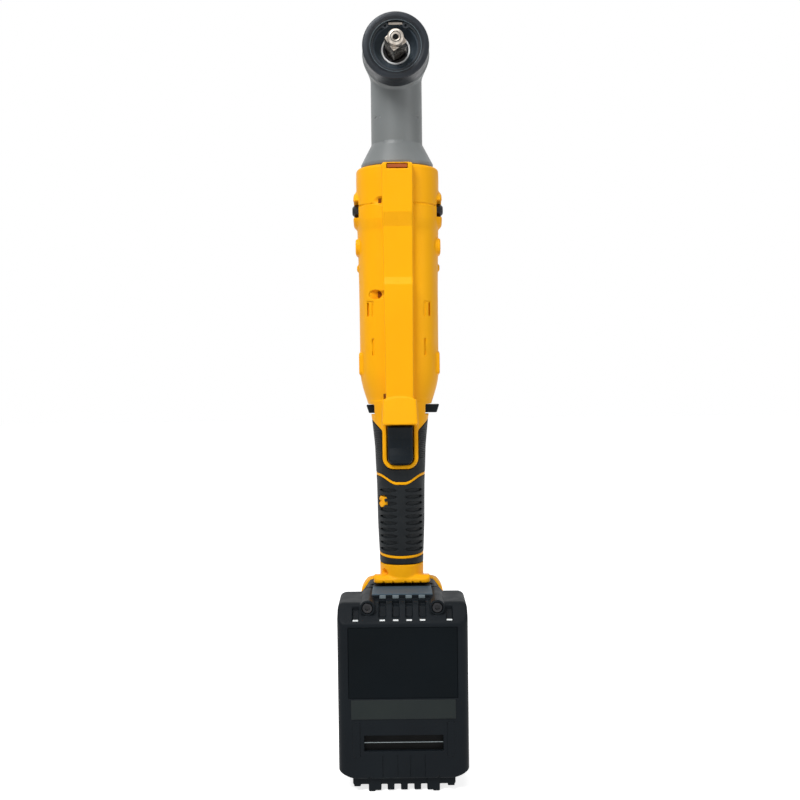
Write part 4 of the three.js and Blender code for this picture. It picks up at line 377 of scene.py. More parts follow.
def made(name, points, faces, body, slot, replaced=(), normals=None):
    """A Blender object from points in millimetres and faces with equally many corners."""
    mesh = bpy.data.meshes.new(name)
    points = np.asarray(points, np.float32) + np.array([0, AXIS_Y, 0], np.float32)
    faces = np.asarray(faces, np.int32)
    mesh.vertices.add(len(points))
    mesh.vertices.foreach_set("co", (points * MM).ravel())
    mesh.loops.add(faces.size)
    mesh.loops.foreach_set("vertex_index", faces.ravel())
    mesh.polygons.add(len(faces))
    mesh.polygons.foreach_set("loop_start", np.arange(0, faces.size, faces.shape[1], dtype=np.int32))
    mesh.polygons.foreach_set("use_smooth", np.ones(len(faces), bool))
    mesh.update(calc_edges=True)
    if normals is not None:
        mesh.normals_split_custom_set_from_vertices(normals.tolist())
    piece = placed(name, mesh)
    mesh.materials.append(MATERIALS[slot])
    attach(piece, body)
    if replaced:
        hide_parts(*replaced)
    return piece


# Flat meshes turned round an axis

def turned(name, profile, centre, axis, body, slot, *replaced, sides=144):
    """A closed profile of (radius, place along the axis) turned round x or y."""
    count = len(profile)
    angles = np.linspace(0, 2 * math.pi, sides, endpoint=False)
    radius, along = np.array(profile, np.float32).T
    p = np.outer(np.cos(angles), radius)
    q = np.outer(np.sin(angles), radius)
    a = np.broadcast_to(along, p.shape)
    layers = (p, a, -q) if axis == "y" else (a, p, q)
    points = np.stack(layers, 2).reshape(-1, 3) + np.array(centre, np.float32)
    ring, spot = np.divmod(np.arange(sides * count), count)
    beside = (ring + 1) % sides * count
    after = (spot + 1) % count
    faces = np.stack([ring * count + spot, ring * count + after, beside + after, beside + spot], 1)
    piece = made(name, points, faces, body, slot, replaced)
    turn_out(piece)
    piece.data.set_sharp_from_angle(angle=SHARP_ANGLE)
    return piece


def turn_out(piece):
    """Makes every face of a closed mesh look outwards."""
    work = bmesh.new()
    work.from_mesh(piece.data)
    bmesh.ops.recalc_face_normals(work, faces=work.faces)
    work.to_mesh(piece.data)
    work.free()


# Materials

NOISE_RANGE = (0.3, 0.7)  # where most of a noise texture's values lie
RING_SHARE = 0.35  # height of turning marks beside the metal's grain
COAT_ROUGHNESS = 0.25

RIDGE_SIDE = 12.0
RIDGE_LOW = 191.0
RIDGE_HIGH = 209.5
RIDGE_PITCH = 1.15
RIDGE_HEIGHT_SHARE = 22.0


def linear(code):
    """A colour code as linear red, green, blue and alpha."""
    parts = [int(code[place:place + 2], 16) / 255 for place in (1, 3, 5)]
    return tuple(p / 12.92 if p <= 0.04045 else ((p + 0.055) / 1.055) ** 2.4 for p in parts) + (1.0,)


class Nodes:
    """A material's nodes, wired by name."""

    def __init__(self, name):
        self.material = bpy.data.materials.new(name)
        self.material.use_nodes = True
        self.tree = self.material.node_tree
        self.shader = self.tree.nodes["Principled BSDF"]
        self.place = self.add("ShaderNodeTexCoord").outputs["Object"]

    def add(self, kind, **inputs):
        node = self.tree.nodes.new(kind)
        for key, value in inputs.items():
            self.feed(node.inputs[key.replace("_", " ")], value)
        return node

    def feed(self, socket, value):
        if isinstance(value, bpy.types.NodeSocket):
            self.tree.links.new(value, socket)
        else:
            socket.default_value = value

    def noise(self, scale, detail=2.0):
        return self.add("ShaderNodeTexNoise", Vector=self.place, Scale=scale,
                        Detail=detail).outputs["Fac"]

    def stretched(self, noise, low, high):
        """A noise spread over the range from low to high."""
        start, end = NOISE_RANGE
        return self.add("ShaderNodeMapRange", Value=noise, From_Min=start, From_Max=end,
                        To_Min=low, To_Max=high).outputs["Result"]

    def drifting(self, noise, colour, shade):
        """A colour that drifts to its shade with a noise."""
        return self.mixed(self.stretched(noise, 0.0, 1.0), linear(colour), linear(shade))

    def rings(self, distance, pitch):
        """Waves along a distance in metres, with a pitch in millimetres."""
        return self.calc("SINE", self.calc("MULTIPLY", distance, 2 * math.pi / (pitch * MM)))

    def calc(self, kind, a, b=0.0):
        node = self.tree.nodes.new("ShaderNodeMath")
        node.operation = kind
        self.feed(node.inputs[0], a)
        self.feed(node.inputs[1], b)
        return node.outputs[0]

    def mixed(self, factor, a, b):
        node = self.tree.nodes.new("ShaderNodeMix")
        node.data_type = "RGBA"
        self.feed(node.inputs["Factor"], factor)
        self.feed(node.inputs[6], a)
        self.feed(node.inputs[7], b)
        return node.outputs[2]

    def bump(self, height, distance):
        node = self.add("ShaderNodeBump", Height=height, Distance=distance)
        self.feed(self.shader.inputs["Normal"], node.outputs["Normal"])

    def set(self, **values):
        for key, value in values.items():
            self.feed(self.shader.inputs[key.replace("_", " ")], value)
        return self.material


def moulded(name, colour, shade, roughness, specular, grain=1500.0, depth=1.5e-5, coat=0.0):
    """Moulded plastic: a fine even grain, cloudy gloss and a little colour drift."""
    nodes = Nodes(name)
    tint = nodes.drifting(nodes.noise(22.0, 3.0), colour, shade)
    gloss = nodes.stretched(nodes.noise(140.0, 4.0), roughness - 0.05, roughness + 0.06)
    nodes.bump(nodes.noise(grain, 3.0), depth)
    return nodes.set(Base_Color=tint, Roughness=gloss, Specular_IOR_Level=specular,
                     Coat_Weight=coat, Coat_Roughness=COAT_ROUGHNESS)


def rubbery(name, colour, shade):
    """Overmoulded rubber: matt, with fine ridges on the upper flanks of the grip."""
    nodes = Nodes(name)
    tint = nodes.drifting(nodes.noise(60.0, 3.0), colour, shade)
    split = nodes.add("ShaderNodeSeparateXYZ", Vector=nodes.place)
    side = nodes.calc("GREATER_THAN", nodes.calc("ABSOLUTE", split.outputs["X"]), RIDGE_SIDE * MM)
    above = nodes.calc("GREATER_THAN", split.outputs["Z"], RIDGE_LOW * MM)
    below = nodes.calc("LESS_THAN", split.outputs["Z"], RIDGE_HIGH * MM)
    inside = nodes.calc("MULTIPLY", side, nodes.calc("MULTIPLY", above, below))
    wave = nodes.rings(split.outputs["Z"], RIDGE_PITCH)
    ridges = nodes.calc("MULTIPLY", wave, nodes.calc("MULTIPLY", inside, RIDGE_HEIGHT_SHARE))
    height = nodes.calc("ADD", ridges, nodes.noise(1300.0, 3.0))
    nodes.bump(height, 3.5e-5)
    gloss = nodes.stretched(nodes.noise(200.0, 4.0), 0.52, 0.68)
    return nodes.set(Base_Color=tint, Roughness=gloss, Specular_IOR_Level=0.2)


def metal(name, colour, shade, roughness, metallic=1.0):
    """Bare or plated metal: drifting tone, uneven gloss and fine tool marks."""
    nodes = Nodes(name)
    tint = nodes.drifting(nodes.noise(260.0, 5.0), colour, shade)
    gloss = nodes.stretched(nodes.noise(520.0, 4.0), roughness - 0.07, roughness + 0.09)
    nodes.bump(nodes.noise(900.0, 4.0), 0.8e-5)
    return nodes.set(Base_Color=tint, Roughness=gloss, Metallic=metallic)


def turned_metal(name, colour, shade, roughness, metallic, centre_z, pitch):
    """Metal turned on a lathe round an axis along y at this height, with fine rings."""
    nodes = Nodes(name)
    split = nodes.add("ShaderNodeSeparateXYZ", Vector=nodes.place)
    up = nodes.calc("SUBTRACT", split.outputs["Z"], centre_z * MM)
    square = nodes.calc("ADD", nodes.calc("MULTIPLY", up, up),
                        nodes.calc("MULTIPLY", split.outputs["X"], split.outputs["X"]))
    rings = nodes.rings(nodes.calc("SQRT", square), pitch)
    height = nodes.calc("ADD", nodes.calc("MULTIPLY", rings, RING_SHARE), nodes.noise(700.0, 4.0))
    nodes.bump(height, 1.2e-5)
    tint = nodes.drifting(nodes.noise(90.0, 4.0), colour, shade)
    gloss = nodes.stretched(nodes.noise(300.0, 4.0), roughness - 0.06, roughness + 0.08)
    return nodes.set(Base_Color=tint, Roughness=gloss, Metallic=metallic)


MATERIALS = {
    "yellow": moulded("yellow_nylon", "#FCB20A", "#F8AB07", 0.44, 0.12),
    "rubber": rubbery("grip_rubber", "#12171A", "#0E1215"),
    "casting": moulded("painted_casting", "#75797A", "#6B6F6F", 0.42, 0.45, grain=1000.0, depth=2.2e-5),
    "cap": turned_metal("blackened_cap", "#151C25", "#10161D", 0.4, 0.35, DRIVE_Z, 0.9),
    "steel": metal("bare_steel", "#C0B9B0", "#91887E", 0.3),
    "black_steel": metal("black_steel", "#1C1D20", "#2A2A2C", 0.38, 0.6),
    "slate": moulded("slate_plastic", "#131B21", "#10161B", 0.42, 0.11),
    "pack_black": moulded("pack_plastic", "#171C20", "#13171B", 0.46, 0.07, grain=1200.0),
    "winding": metal("copper_winding", "#A5602C", "#7C4218", 0.35, 0.8),
    "bronze": metal("sintered_bronze", "#8F6B3D", "#6E5029", 0.5, 0.8),
    "board": moulded("board_green", "#1F4A33", "#173A28", 0.45, 0.4),
    "cell": moulded("cell_wrap", "#3C6FA8", "#335F92", 0.35, 0.45),
    # painted shade: orange-brown for the yellow plastic in shadow behind the lamp's window
    "lens": moulded("smoked_amber_lens", "#B85A1C", "#9A4612", 0.22, 0.3, coat=0.2),
    "red": moulded("red_plastic", "#B02A22", "#96221C", 0.45, 0.4),
    "label": moulded("label_recess", "#0C1216", "#0A0F12", 0.42, 0.05),
    "strip": moulded("pack_strip", "#1D2423", "#181E1F", 0.45, 0.16),
    # painted reflection: light bluish grey on the bar's upward face for the light it reflects
    "bar": moulded("pack_bar", "#4A5A66", "#404F5A", 0.5, 0.1),
    # painted sheen: pale grey for the light that the small squares on the pack's bar catch
    "tile": moulded("pale_tile", "#7C888D", "#6F7A7F", 0.4, 0.2),
    # painted highlight: near white for the glints on the lower lips of the pack's slots
    "lip": moulded("bright_lip", "#F2F5F5", "#E4E8E8", 0.25, 0.4),
    # painted highlight: pale grey on the rod across the grille, for the bright line a highlight draws on it
    "rod": moulded("thin_rod", "#939B9E", "#80898C", 0.3, 0.3),
    # painted reflection: near-white plastic for the bright steel lip of the bush
    "silver": moulded("bright_ring", "#F4F5F4", "#E6E8E8", 0.25, 0.5),
    # painted light: a lighter copy of the cap's colour on the cone inside the nose, which lies in shadow
    "dish": turned_metal("nose_dish", "#33404A", "#28323B", 0.5, 0.25, DRIVE_Z, 1.1),
    "ring": moulded("dark_ring", "#22282E", "#1A1F24", 0.4, 0.3),
    # painted highlight: lighter cap colour for the light arcs on the edge of the cap's recess
    "arc": moulded("recess_edge", "#5D6970", "#4B565D", 0.35, 0.4),
    # painted shade: dark brown that stands for the yellow plastic on the shadowed floors of the screw holes
    "umber": moulded("hole_floor", "#8A4A08", "#7A3F06", 0.6, 0.1),
    # painted shade: near black for the shadowed floor of the grille recess and of the hole in the square
    "void": moulded("grille_floor", "#08090A", "#060707", 0.6, 0.1),
}
# Further looks and the record's slots they fall under; apart from the label blank, the strip and the dark
# ring, they are lighter or darker copies of a slot's colour that hold painted highlights, reflections,
# light or shade
SHADES = dict.fromkeys(("label", "strip", "bar", "tile", "lip", "void"), "pack_black")
SHADES.update(rod="steel", silver="steel", dish="cap", arc="cap", ring="black_steel", umber="yellow")


# Housing

SPINE_LINE = [(219.0, -29.0), (297.3, -29.0), (301.6, -27.0), (332.0, -27.0), (340.4, -29.9),
              (371.0, -29.9)]
SPINE_WIDTHS = [(225.0, 8.3), (262.0, 8.5), (370.0, 9.35)]
SPINE_EDGE = 1.1
SPINE_LOW = 226.0
SPINE_FILLET = 0.7
RIM_ROUND = 2.4

HOOD_TOP = 229.8
HOOD_LOW = 213.2
HOOD_TIP = -33.6
HOOD_ROOT = -29.8
HOOD_CROWN = 0.016
HOOD_LIP = 1.5
HOOD_WIDTHS = [(HOOD_LOW, 10.8), (HOOD_TOP, 9.9)]

FRAME_FRONT = -18.9
FRAME_LOW = 185.3
FRAME_HIGH = 232.0
FRAME_HALF = 10.9
FRAME_CORNER = 6.8
OPENING_HALF = 8.4
OPENING_LOW = 187.6
OPENING_HIGH = 212.0
OPENING_CORNER = 4.6
OPENING_DEPTH = -10.4
PLUNGER_ROOM = 2.8
PLUNGER_PATH = (-12.0, -2.4)
WINDOW_BOX = ((-6.3, -40.0, 366.0), (6.3, -26.5, 369.0))

CORE_INSET = 2.1
CORE_HIGH = 224.0
OVERLAP = 1.0  # how far pieces of one moulding reach into each other
RUBBER_GAP = 0.3
HANDLE_HIGH = 227.0
YOKE_LOW = 200.0
YOKE_HIGH = 226.0
YOKE_LINE = [(0.0, 208.6), (10.9, 208.6), (17.6, 215.4), (22.0, 217.9), (60.0, 217.9)]

BOSS_RADIUS = 11.7
BOSS_REACH = 27.3
BOSS_EDGE = 3.0
POCKET_RADIUS = 5.7
POCKET_FLOOR = 23.9
TROUGH_HALF = 5.1
TROUGH_REACH = 20.0

# Height, half height, half depth, reach from the middle and corner of the raised pads on both flanks
PADS = [
    (321.8, 4.9, 9.8, 26.15, 4.6),
    (309.0, 1.9, 1.9, 25.7, 1.8),
    (249.8, 6.8, 9.5, 24.95, 2.0),
]
# Height, half height, distance from the middle and depth of the slits in both flanks
VENTS = [(282.6, 4.1, 18.6, 1.3), (282.6, 4.1, 15.7, 0.4), (259.9, 5.2, 15.7, 0.8)]
VENT_HALF = 0.5
VENT_BAR = (287.2, 15.2, 19.6, 0.4)  # height, near and far ends and depth of the short slit across

# The front flanks step in a little below this height
STEP_HIGH = 337.5
STEP_LOW = 331.0
STEP_DEPTH = 0.8
STEP_FADE = 9.0  # it grows over this depth in front of the middle
STEP_START = 0.2

CREASE_Z = 346.3
CREASE_HALF = 0.4
CREASE_DEPTH = 0.45
CREASE_NEAR = 9.5
CREASE_BACK = -6.0

SELECTOR_NOTCH = (218.4, 224.7, 15.7, 13.0)  # low, high, floor and half depth of the selector's recess
SELECTOR_ROOM = 4.3
SELECTOR_GAP = 0.3

PLATE_HALF = 26.4
PLATE_FRONT = 8.3
PLATE_SHOULDER = 13.5
PLATE_EDGE = 1.6
SQUARE_HIGH = 80.0  # below this the plate has square corners
FLANGE_HALF = 17.4
# Height and depth of the foot's top, which falls away to the back
FOOT_TOP = [(116.9, -16.3), (119.3, -13.2), (115.9, 8.0), (111.3, 22.4)]
FLANGE_FRONT = -16.2
FLANGE_CORNER = 3.2
FLANGE_MARKS = (-11.2, -5.4, 2.2, 6.6, 11.4)
FLANGE_MARK = (0.45, -20.0, -14.9, 1.1)  # half width, front, back and height of the nicks under it
SCREW_BORE = 2.2
# Depth, height, floor and radius of the holes over the screws, all put in from the -x side
SCREW_PLACES = [(-24.4, 347.8, 9.7, 2.5), (-22.7, 291.7, 11.6, 2.9), (-24.9, 229.6, 8.0, 2.1),
                (-9.6, 164.6, 11.9, 1.2), (-10.6, 120.3, 10.2, 2.2)]
SCREW_BACK = 7.6
# Place, height and half sizes of the dish that runs to the middle screw
SCREW_DISH = (-14.0, 291.7, 4.0, 2.8)
DISH_SLOPE = 0.6
DISH_DEPTHS = (0.5, 4.2)
# Middle and half sizes of the bare yellow patch round the grip's screw
BARE_PATCH = (-10.6, 164.6, 2.9, 3.9)
PATCH_CORNER = 2.6
PATCH_SUNK = 0.15
PATCH_SIDE = -6.0  # the patch and its hole lie on the -x side of this plane
# Half width and depths of the rails' channel
CHANNEL_NECK = (16.3, (8.0, 11.4))
CHANNEL_BED = (20.3, (11.0, 14.9))
CHANNEL_HIGH = 104.9


def along(table, z):
    """A table's value at each height."""
    heights, values = zip(*table)
    return np.interp(z, heights, values).astype(np.float32)


def spine(x, y, z):
    """The ridge down the front with its two steps."""
    face = along(SPINE_LINE, z) - y
    side = np.abs(x) - along(SPINE_WIDTHS, z)
    ridge = meet(face, side, SPINE_EDGE)
    return within(meet(ridge, slab(z, SPINE_LOW, BODY_HIGH), SPINE_EDGE * 2), y)


def hood(x, y, z):
    """The peak over the trigger."""
    face = edge_line(y, z, (HOOD_ROOT, HOOD_TOP), (HOOD_TIP, HOOD_LOW + HOOD_LIP))
    top = z - (HOOD_TOP - HOOD_CROWN * x * x)
    side = np.abs(x) - along(HOOD_WIDTHS, z)
    peak = meet(meet(face, side, k=1.6), top, k=0.8)
    return within(meet(peak, HOOD_LOW - z, k=1.2), y)


def frame_flat(x, z, half, low, corner):
    """A round-cornered outline that runs up into the body."""
    return upright(x, z, half, low, FRAME_HIGH, corner)


def yoke_flat(x, z):
    """Above the line where the yellow yoke ends and the rubber begins, seen from the front."""
    return along(YOKE_LINE, np.abs(x)) - z


def bare_patch(y, z, more):
    """The patch round the grip's screw, grown by more."""
    depth, height, half_y, half_z = BARE_PATCH
    return square2(y - depth, z - height, half_y + more, half_z + more, PATCH_CORNER)


def handle_core(x, y, z):
    """The handle inside the rubber, and what of it is bare."""
    handle = tapered(x, y, z, SOFT_HANDLE)
    core = within(handle + CORE_INSET, slab(z, FLANGE_HIGH - OVERLAP, CORE_HIGH))
    stub = within(handle, slab(z, FLANGE_HIGH - 2 * OVERLAP, GRIP_LOW - RUBBER_GAP))
    above = within(handle, slab(z, GRIP_HIGH + RUBBER_GAP, HANDLE_HIGH))
    patch = within(bare_patch(y, z, -RUBBER_GAP), handle + PATCH_SUNK, x - PATCH_SIDE)
    above = either(above, patch)
    yoke = within(handle, slab(z, YOKE_LOW, YOKE_HIGH), yoke_flat(x, z), y)
    border = prism(frame_flat(x, z, FRAME_HALF, FRAME_LOW, FRAME_CORNER), y, FRAME_FRONT, 0.0, r=0.9)
    return join(either(core, stub, above), join(yoke, border, k=1.2))


def flank_bosses(x, y, z):
    """Round bosses for the side bolts, and the raised pads."""
    wide = np.abs(x)
    boss = prism(disc(y, z - BOLT_Z, BOSS_RADIUS), wide, 0.0, BOSS_REACH, BOSS_EDGE)
    for middle, half_z, half_y, reach, corner in PADS:
        pad = prism(square2(y, z - middle, half_y, half_z, corner), wide, 0.0, reach, r=0.8)
        boss = either(boss, pad)
    return boss


def foot(x, y, z):
    """The plate behind the pack and the flange under the handle."""
    middle, half = (FOOT_LOW + FLANGE_LOW) / 2, (FLANGE_LOW - FOOT_LOW) / 2 + 0.3
    outline = square2(x, z - middle, PLATE_HALF, half, PLATE_SHOULDER)
    plate = prism(outline, y, PLATE_FRONT, FOOT_BACK, PLATE_EDGE)
    lower = even_brick(x, y, z, PLATE_HALF, (PLATE_FRONT, FOOT_BACK), (FOOT_LOW, SQUARE_HIGH), PLATE_EDGE)
    centre, depth = (FLANGE_FRONT + FOOT_BACK) / 2, (FOOT_BACK - FLANGE_FRONT) / 2
    flange = prism(square2(x, y - centre, FLANGE_HALF, depth, FLANGE_CORNER), z, FLANGE_LOW,
                   FLANGE_HIGH, r=0.9)
    half, front, back, high = FLANGE_MARK
    for place in FLANGE_MARKS:
        mark = brick(x, y, z, (place - half, front, FLANGE_LOW - OVERLAP),
                     (place + half, back, FLANGE_LOW + high))
        flange = carve(flange, mark)
    both = join(either(plate, lower), flange, k=1.0)
    for start, end in zip(FOOT_TOP, FOOT_TOP[1:]):
        both = meet(both, edge_line(z, y, start, end), k=0.6)
    return both


def rail_channel(x, y, z):
    """The channel in the foot that the pack's rails slide in."""
    heights = (FOOT_LOW - BEYOND, CHANNEL_HIGH)
    return either(*[even_brick(x, y, z, *part, heights) for part in (CHANNEL_NECK, CHANNEL_BED)])


def flank_cuts(x, y, z, skin):
    """Slits and the crease, each cut to its own depth under the skin."""
    wide = np.abs(x)
    line = slab(z, CREASE_Z - CREASE_HALF, CREASE_Z + CREASE_HALF)
    cuts = [within(line, y - CREASE_BACK, CREASE_NEAR - wide, -(skin + CREASE_DEPTH))]
    place, height, half_x, half_z = SCREW_DISH
    dish = (np.hypot((x - place) / half_x, (z - height) / half_z) - 1) * half_z
    floor = -(skin + np.clip((x - place + half_x) * DISH_SLOPE, *DISH_DEPTHS))
    cuts.append(within(dish, floor, y - CREASE_BACK))
    for middle, half, place, deep in VENTS:
        slit = square2(wide - place, z - middle, VENT_HALF, half, r=0.4)
        cuts.append(within(slit, y, -(skin + deep)))
    height, near, far, deep = VENT_BAR
    bar = square2(wide - (near + far) / 2, z - height, (far - near) / 2, 0.4, r=0.3)
    return either(*cuts, within(bar, y, -(skin + deep)))


def screw_holes(x, y, z):
    """Round holes that run out of the -x side from each screw's head."""
    holes = []
    for depth, height, floor, radius in SCREW_PLACES:
        for width, end in ((radius, floor), (min(radius, SCREW_BORE), SCREW_BACK)):
            holes.append(within(disc(y - depth, z - height, width), x + end))
    return either(*holes)


def housing_openings(x, y, z):
    """Trigger opening, plunger's room, light window, bolt pockets and the selector's slot."""
    wide = np.abs(x)
    opening = frame_flat(x, z, OPENING_HALF, OPENING_LOW, OPENING_CORNER)
    opening = within(prism(opening, y, -FAR, OPENING_DEPTH), z - OPENING_HIGH)
    plunger = prism(disc(x, z - (TRIGGER_LOW + TRIGGER_HIGH) / 2, PLUNGER_ROOM), y, *PLUNGER_PATH)
    window = brick(x, y, z, *WINDOW_BOX, r=0.3)
    trough = square2(y + TROUGH_REACH, z - BOLT_Z, TROUGH_REACH, TROUGH_HALF, r=1.0)
    pocket = within(either(disc(y, z - BOLT_Z, POCKET_RADIUS), trough), POCKET_FLOOR - wide)
    low, high, floor, deep = SELECTOR_NOTCH
    notch = within(upright(y, z, deep, low, high, r=0.8), floor - wide)
    slot = even_brick(x, y, z, FAR, (-SELECTOR_ROOM, SELECTOR_ROOM),
                      (SELECTOR_LOW - SELECTOR_GAP, SELECTOR_HIGH + SELECTOR_GAP))
    return either(pocket, opening, plunger, window, notch, slot)


def housing_field(x, y, z):
    """The whole moulded housing, before it is parted in two."""
    share = np.clip((STEP_HIGH - z) / (STEP_HIGH - STEP_LOW), 0, 1)
    share = share * np.clip(-y / STEP_FADE - STEP_START, 0, 1)
    skin = tapered(x, y, z, SOFT_BODY) + STEP_DEPTH * share
    body = meet(meet(skin, z - BODY_HIGH, RIM_ROUND), BODY_LOW - z, k=1.0)
    body = join(body, flank_bosses(x, y, z), k=1.3)
    body = carve(body, flank_cuts(x, y, z, skin), k=0.25)
    body = join(body, spine(x, y, z), SPINE_FILLET)
    body = join(body, hood(x, y, z), k=0.9)
    shell = join(body, join(handle_core(x, y, z), foot(x, y, z), k=0.8), k=0.8)
    shell = carve(shell, screw_holes(x, y, z), k=0.5)
    shell = carve(shell, housing_openings(x, y, z), k=0.5)
    return carve(shell, rail_channel(x, y, z))


def parted(field, side):
    """One half of a field on a side of the middle plane."""
    return lambda x, y, z: within(field(x, y, z), -side * x)


def sculpt_halves(stem, field, low, high, step, slot, node):
    """Both halves of a moulding, between a corner's y and z and an opposite corner."""
    for side, name in SIDES:
        near, far = sorted((0.0, side * high[0]))
        sculpt(f"{stem}_{name}", parted(field, side), (near, *low), (far, *high[1:]), step, "tool",
               slot, f"{node}_{name}", uncut=field)


def make_housing():
    sculpt_halves("housing_shell", housing_field, (-35.0, 29.5), (29.0, 27.0, 371.5), 0.6, "yellow",
                  "housing")


# Grip

RUBBER = 1.8
STRIP_HALF = 0.85
STRIP_ENDS = 181.3
STRIP_LOW = 176.3
STRIP_FLAT = 2.5
STRIP_RISE = 11.5
LOWER_STRIP = 131.6
LOWER_BOW = 1.1
LOWER_BOW_REACH = 14.0
STRIP_GAP = 0.12
BAND_SUNK = 0.08
BAND_UNDERLAP = 0.2
GROOVE_START = 135.3
GROOVE_PITCH = 4.07
GROOVE_COUNT = 10
GROOVE_PLACE = 7.7
GROOVE_REACH = 5.0
GROOVE_HALF = 1.15
GROOVE_DEPTH = 1.1


def strip_field(x, y, z):
    """The two yellow bands round the grip, the upper one bowed down in front."""
    share = np.clip((np.abs(x) - STRIP_FLAT) / STRIP_RISE, 0, 1)
    rise = share * share * (3 - 2 * share)
    middle = np.where(y < 0, STRIP_LOW + (STRIP_ENDS - STRIP_LOW) * rise, STRIP_ENDS)
    lower = LOWER_STRIP - np.where(y < 0, LOWER_BOW * np.clip(1 - (x / LOWER_BOW_REACH) ** 2, 0, 1), 0)
    return either(np.abs(z - middle), np.abs(z - lower)) - STRIP_HALF


def grip_field(x, y, z):
    """The rubber shell with its openings and grooves."""
    handle = tapered(x, y, z, SOFT_HANDLE)
    shell = meet(within(handle, -(handle + RUBBER)), slab(z, GRIP_LOW, GRIP_HIGH), k=0.7)
    border = frame_flat(x, z, FRAME_HALF, FRAME_LOW, FRAME_CORNER)
    bare = within(either(border, yoke_flat(x, z)), y) - RUBBER_GAP
    shell = carve(shell, bare, k=0.7)
    shell = carve(shell, strip_field(x, y, z) - STRIP_GAP, k=0.3)
    row = z - GROOVE_START + GROOVE_PITCH / 2
    up = row % GROOVE_PITCH - GROOVE_PITCH / 2
    oval = np.sqrt(((np.abs(x) - GROOVE_PLACE) / GROOVE_REACH) ** 2 + (up / GROOVE_HALF) ** 2) - 1
    rows = slab(row, 0, GROOVE_PITCH * GROOVE_COUNT)
    shell = carve(shell, within(oval * GROOVE_HALF, rows, y, -(handle + GROOVE_DEPTH)), k=0.4)
    return carve(shell, within(bare_patch(y, z, 0.0), x - PATCH_SIDE), k=0.4)


def band_field(x, y, z):
    """The bands themselves, sunk a hair under the rubber."""
    handle = tapered(x, y, z, SOFT_HANDLE) + BAND_SUNK
    bands = meet(strip_field(x, y, z), within(handle, -(handle + RUBBER)), k=0.35)
    border = frame_flat(x, z, FRAME_HALF, FRAME_LOW, FRAME_CORNER)
    return within(bands, -within(border, y) + BAND_UNDERLAP)


def make_grip():
    sculpt_halves("grip_rubber", grip_field, (-20.5, 125.0), (19.0, 20.5, 219.0), 0.4, "rubber", "grip")
    sculpt("grip_bands", band_field, (-17.0, -19.0, 129.5), (17.0, 19.5, 183.0), 0.36, "tool", "yellow")


# Gear head

BARREL_FRONT = 20.5
BARREL_BACK = 17.2
NECK = 15.8
FLARE_LINE = [(FLARE_LOW, 22.3), (372.6, 22.3), (384.9, NECK), (470.0, NECK)]
NECK_RING = (384.6, 0.3, 0.15, -1.8, 5.4)  # height, half height, rise, place and half width
NECK_NOTCH = (399.9, 400.8, 9.8, 13.2, 0.24)  # low, high, ends and depth of the short cast marks
CASE_FILLET = 1.6
SLEEVE_RADIUS = 20.0
SLEEVE_LOW = 337.6


def gear_case_field(x, y, z):
    """Flared neck and cross barrel of the cast gear case."""
    radius = np.sqrt(x * x + y * y)
    neck = meet(radius - along(FLARE_LINE, z), slab(z, FLARE_LOW, DRIVE_Z), k=1.0)
    share = (y - HEAD_FRONT) / (HEAD_BACK - HEAD_FRONT)
    width = BARREL_FRONT + (BARREL_BACK - BARREL_FRONT) * np.clip(share, 0, 1)
    barrel = prism(disc(x, z - DRIVE_Z, 0.0) - width, y, HEAD_FRONT, HEAD_BACK, r=1.6)
    case = join(neck, barrel, CASE_FILLET)
    low, high, near, far, deep = NECK_NOTCH
    mark = within(slab(z, low, high), slab(np.abs(x), near, far), -(radius - NECK + deep), y)
    case = carve(case, mark, k=0.2)
    height, half_z, rise, place, half_x = NECK_RING
    ridge = within(np.abs(z - height) - half_z, radius - NECK - rise, np.abs(x - place) - half_x, y)
    case = join(case, ridge, k=0.9)
    sleeve = within(radius - SLEEVE_RADIUS, slab(z, SLEEVE_LOW, FLARE_LOW + 1))
    return either(case, sleeve)


# Profiles of the turned pieces: radius and depth
CAP_PROFILE = [(14.2, -30.0), (15.2, -30.2), (15.2, -33.4), (15.5, -33.9), (16.9, -34.7), (18.7, -34.7),
               (19.4, -34.4), (19.8, -33.7), (19.8, -17.2), (19.1, -16.6), (14.2, -16.6)]
DISH_PROFILE = [(8.9, -18.0), (8.9, -24.2), (9.3, -24.8), (11.9, -28.7), (12.3, -30.0), (12.7, -30.4),
                (15.15, -30.4), (15.15, -29.6), (13.0, -18.0)]
ARC_PROFILE = [(14.9, -33.0), (15.0, -33.7), (15.3, -33.9), (15.45, -33.7), (15.3, -33.0)]
MARK_PROFILE = [(2.75, -51.5), (2.75, -51.8), (3.05, -51.8), (3.05, -51.5)]
BUSH_PROFILE = [(5.3, -15.5), (5.3, -21.6), (5.7, -22.0), (7.3, -22.2), (7.6, -22.9), (7.9, -23.8),
                (8.3, -23.8), (8.5, -23.4), (8.5, -15.5)]
LIP_PROFILE = [(7.6, -23.5), (7.65, -24.3), (7.9, -24.6), (8.6, -24.5), (8.8, -23.5)]
# a near-black plug in the square's hole: painted shade
PIN_PROFILE = [(0.05, -51.3), (1.35, -51.3), (1.35, -47.0), (0.05, -47.0)]

RING_OUTER = 15.55
RING_INNER = 13.5
RING_BACK = -31.3
RING_FRONT = -32.5
RING_GAP = math.radians(20)
LUG_ANGLE = math.radians(27)
LUG_RADIUS = 1.9
LUG_HOLE = 0.75
LUG_INSET = 0.2
CLIP_BAR = ((-4.3, -31.4, DRIVE_Z + 12.7), (4.3, -30.6, DRIVE_Z + 14.4))

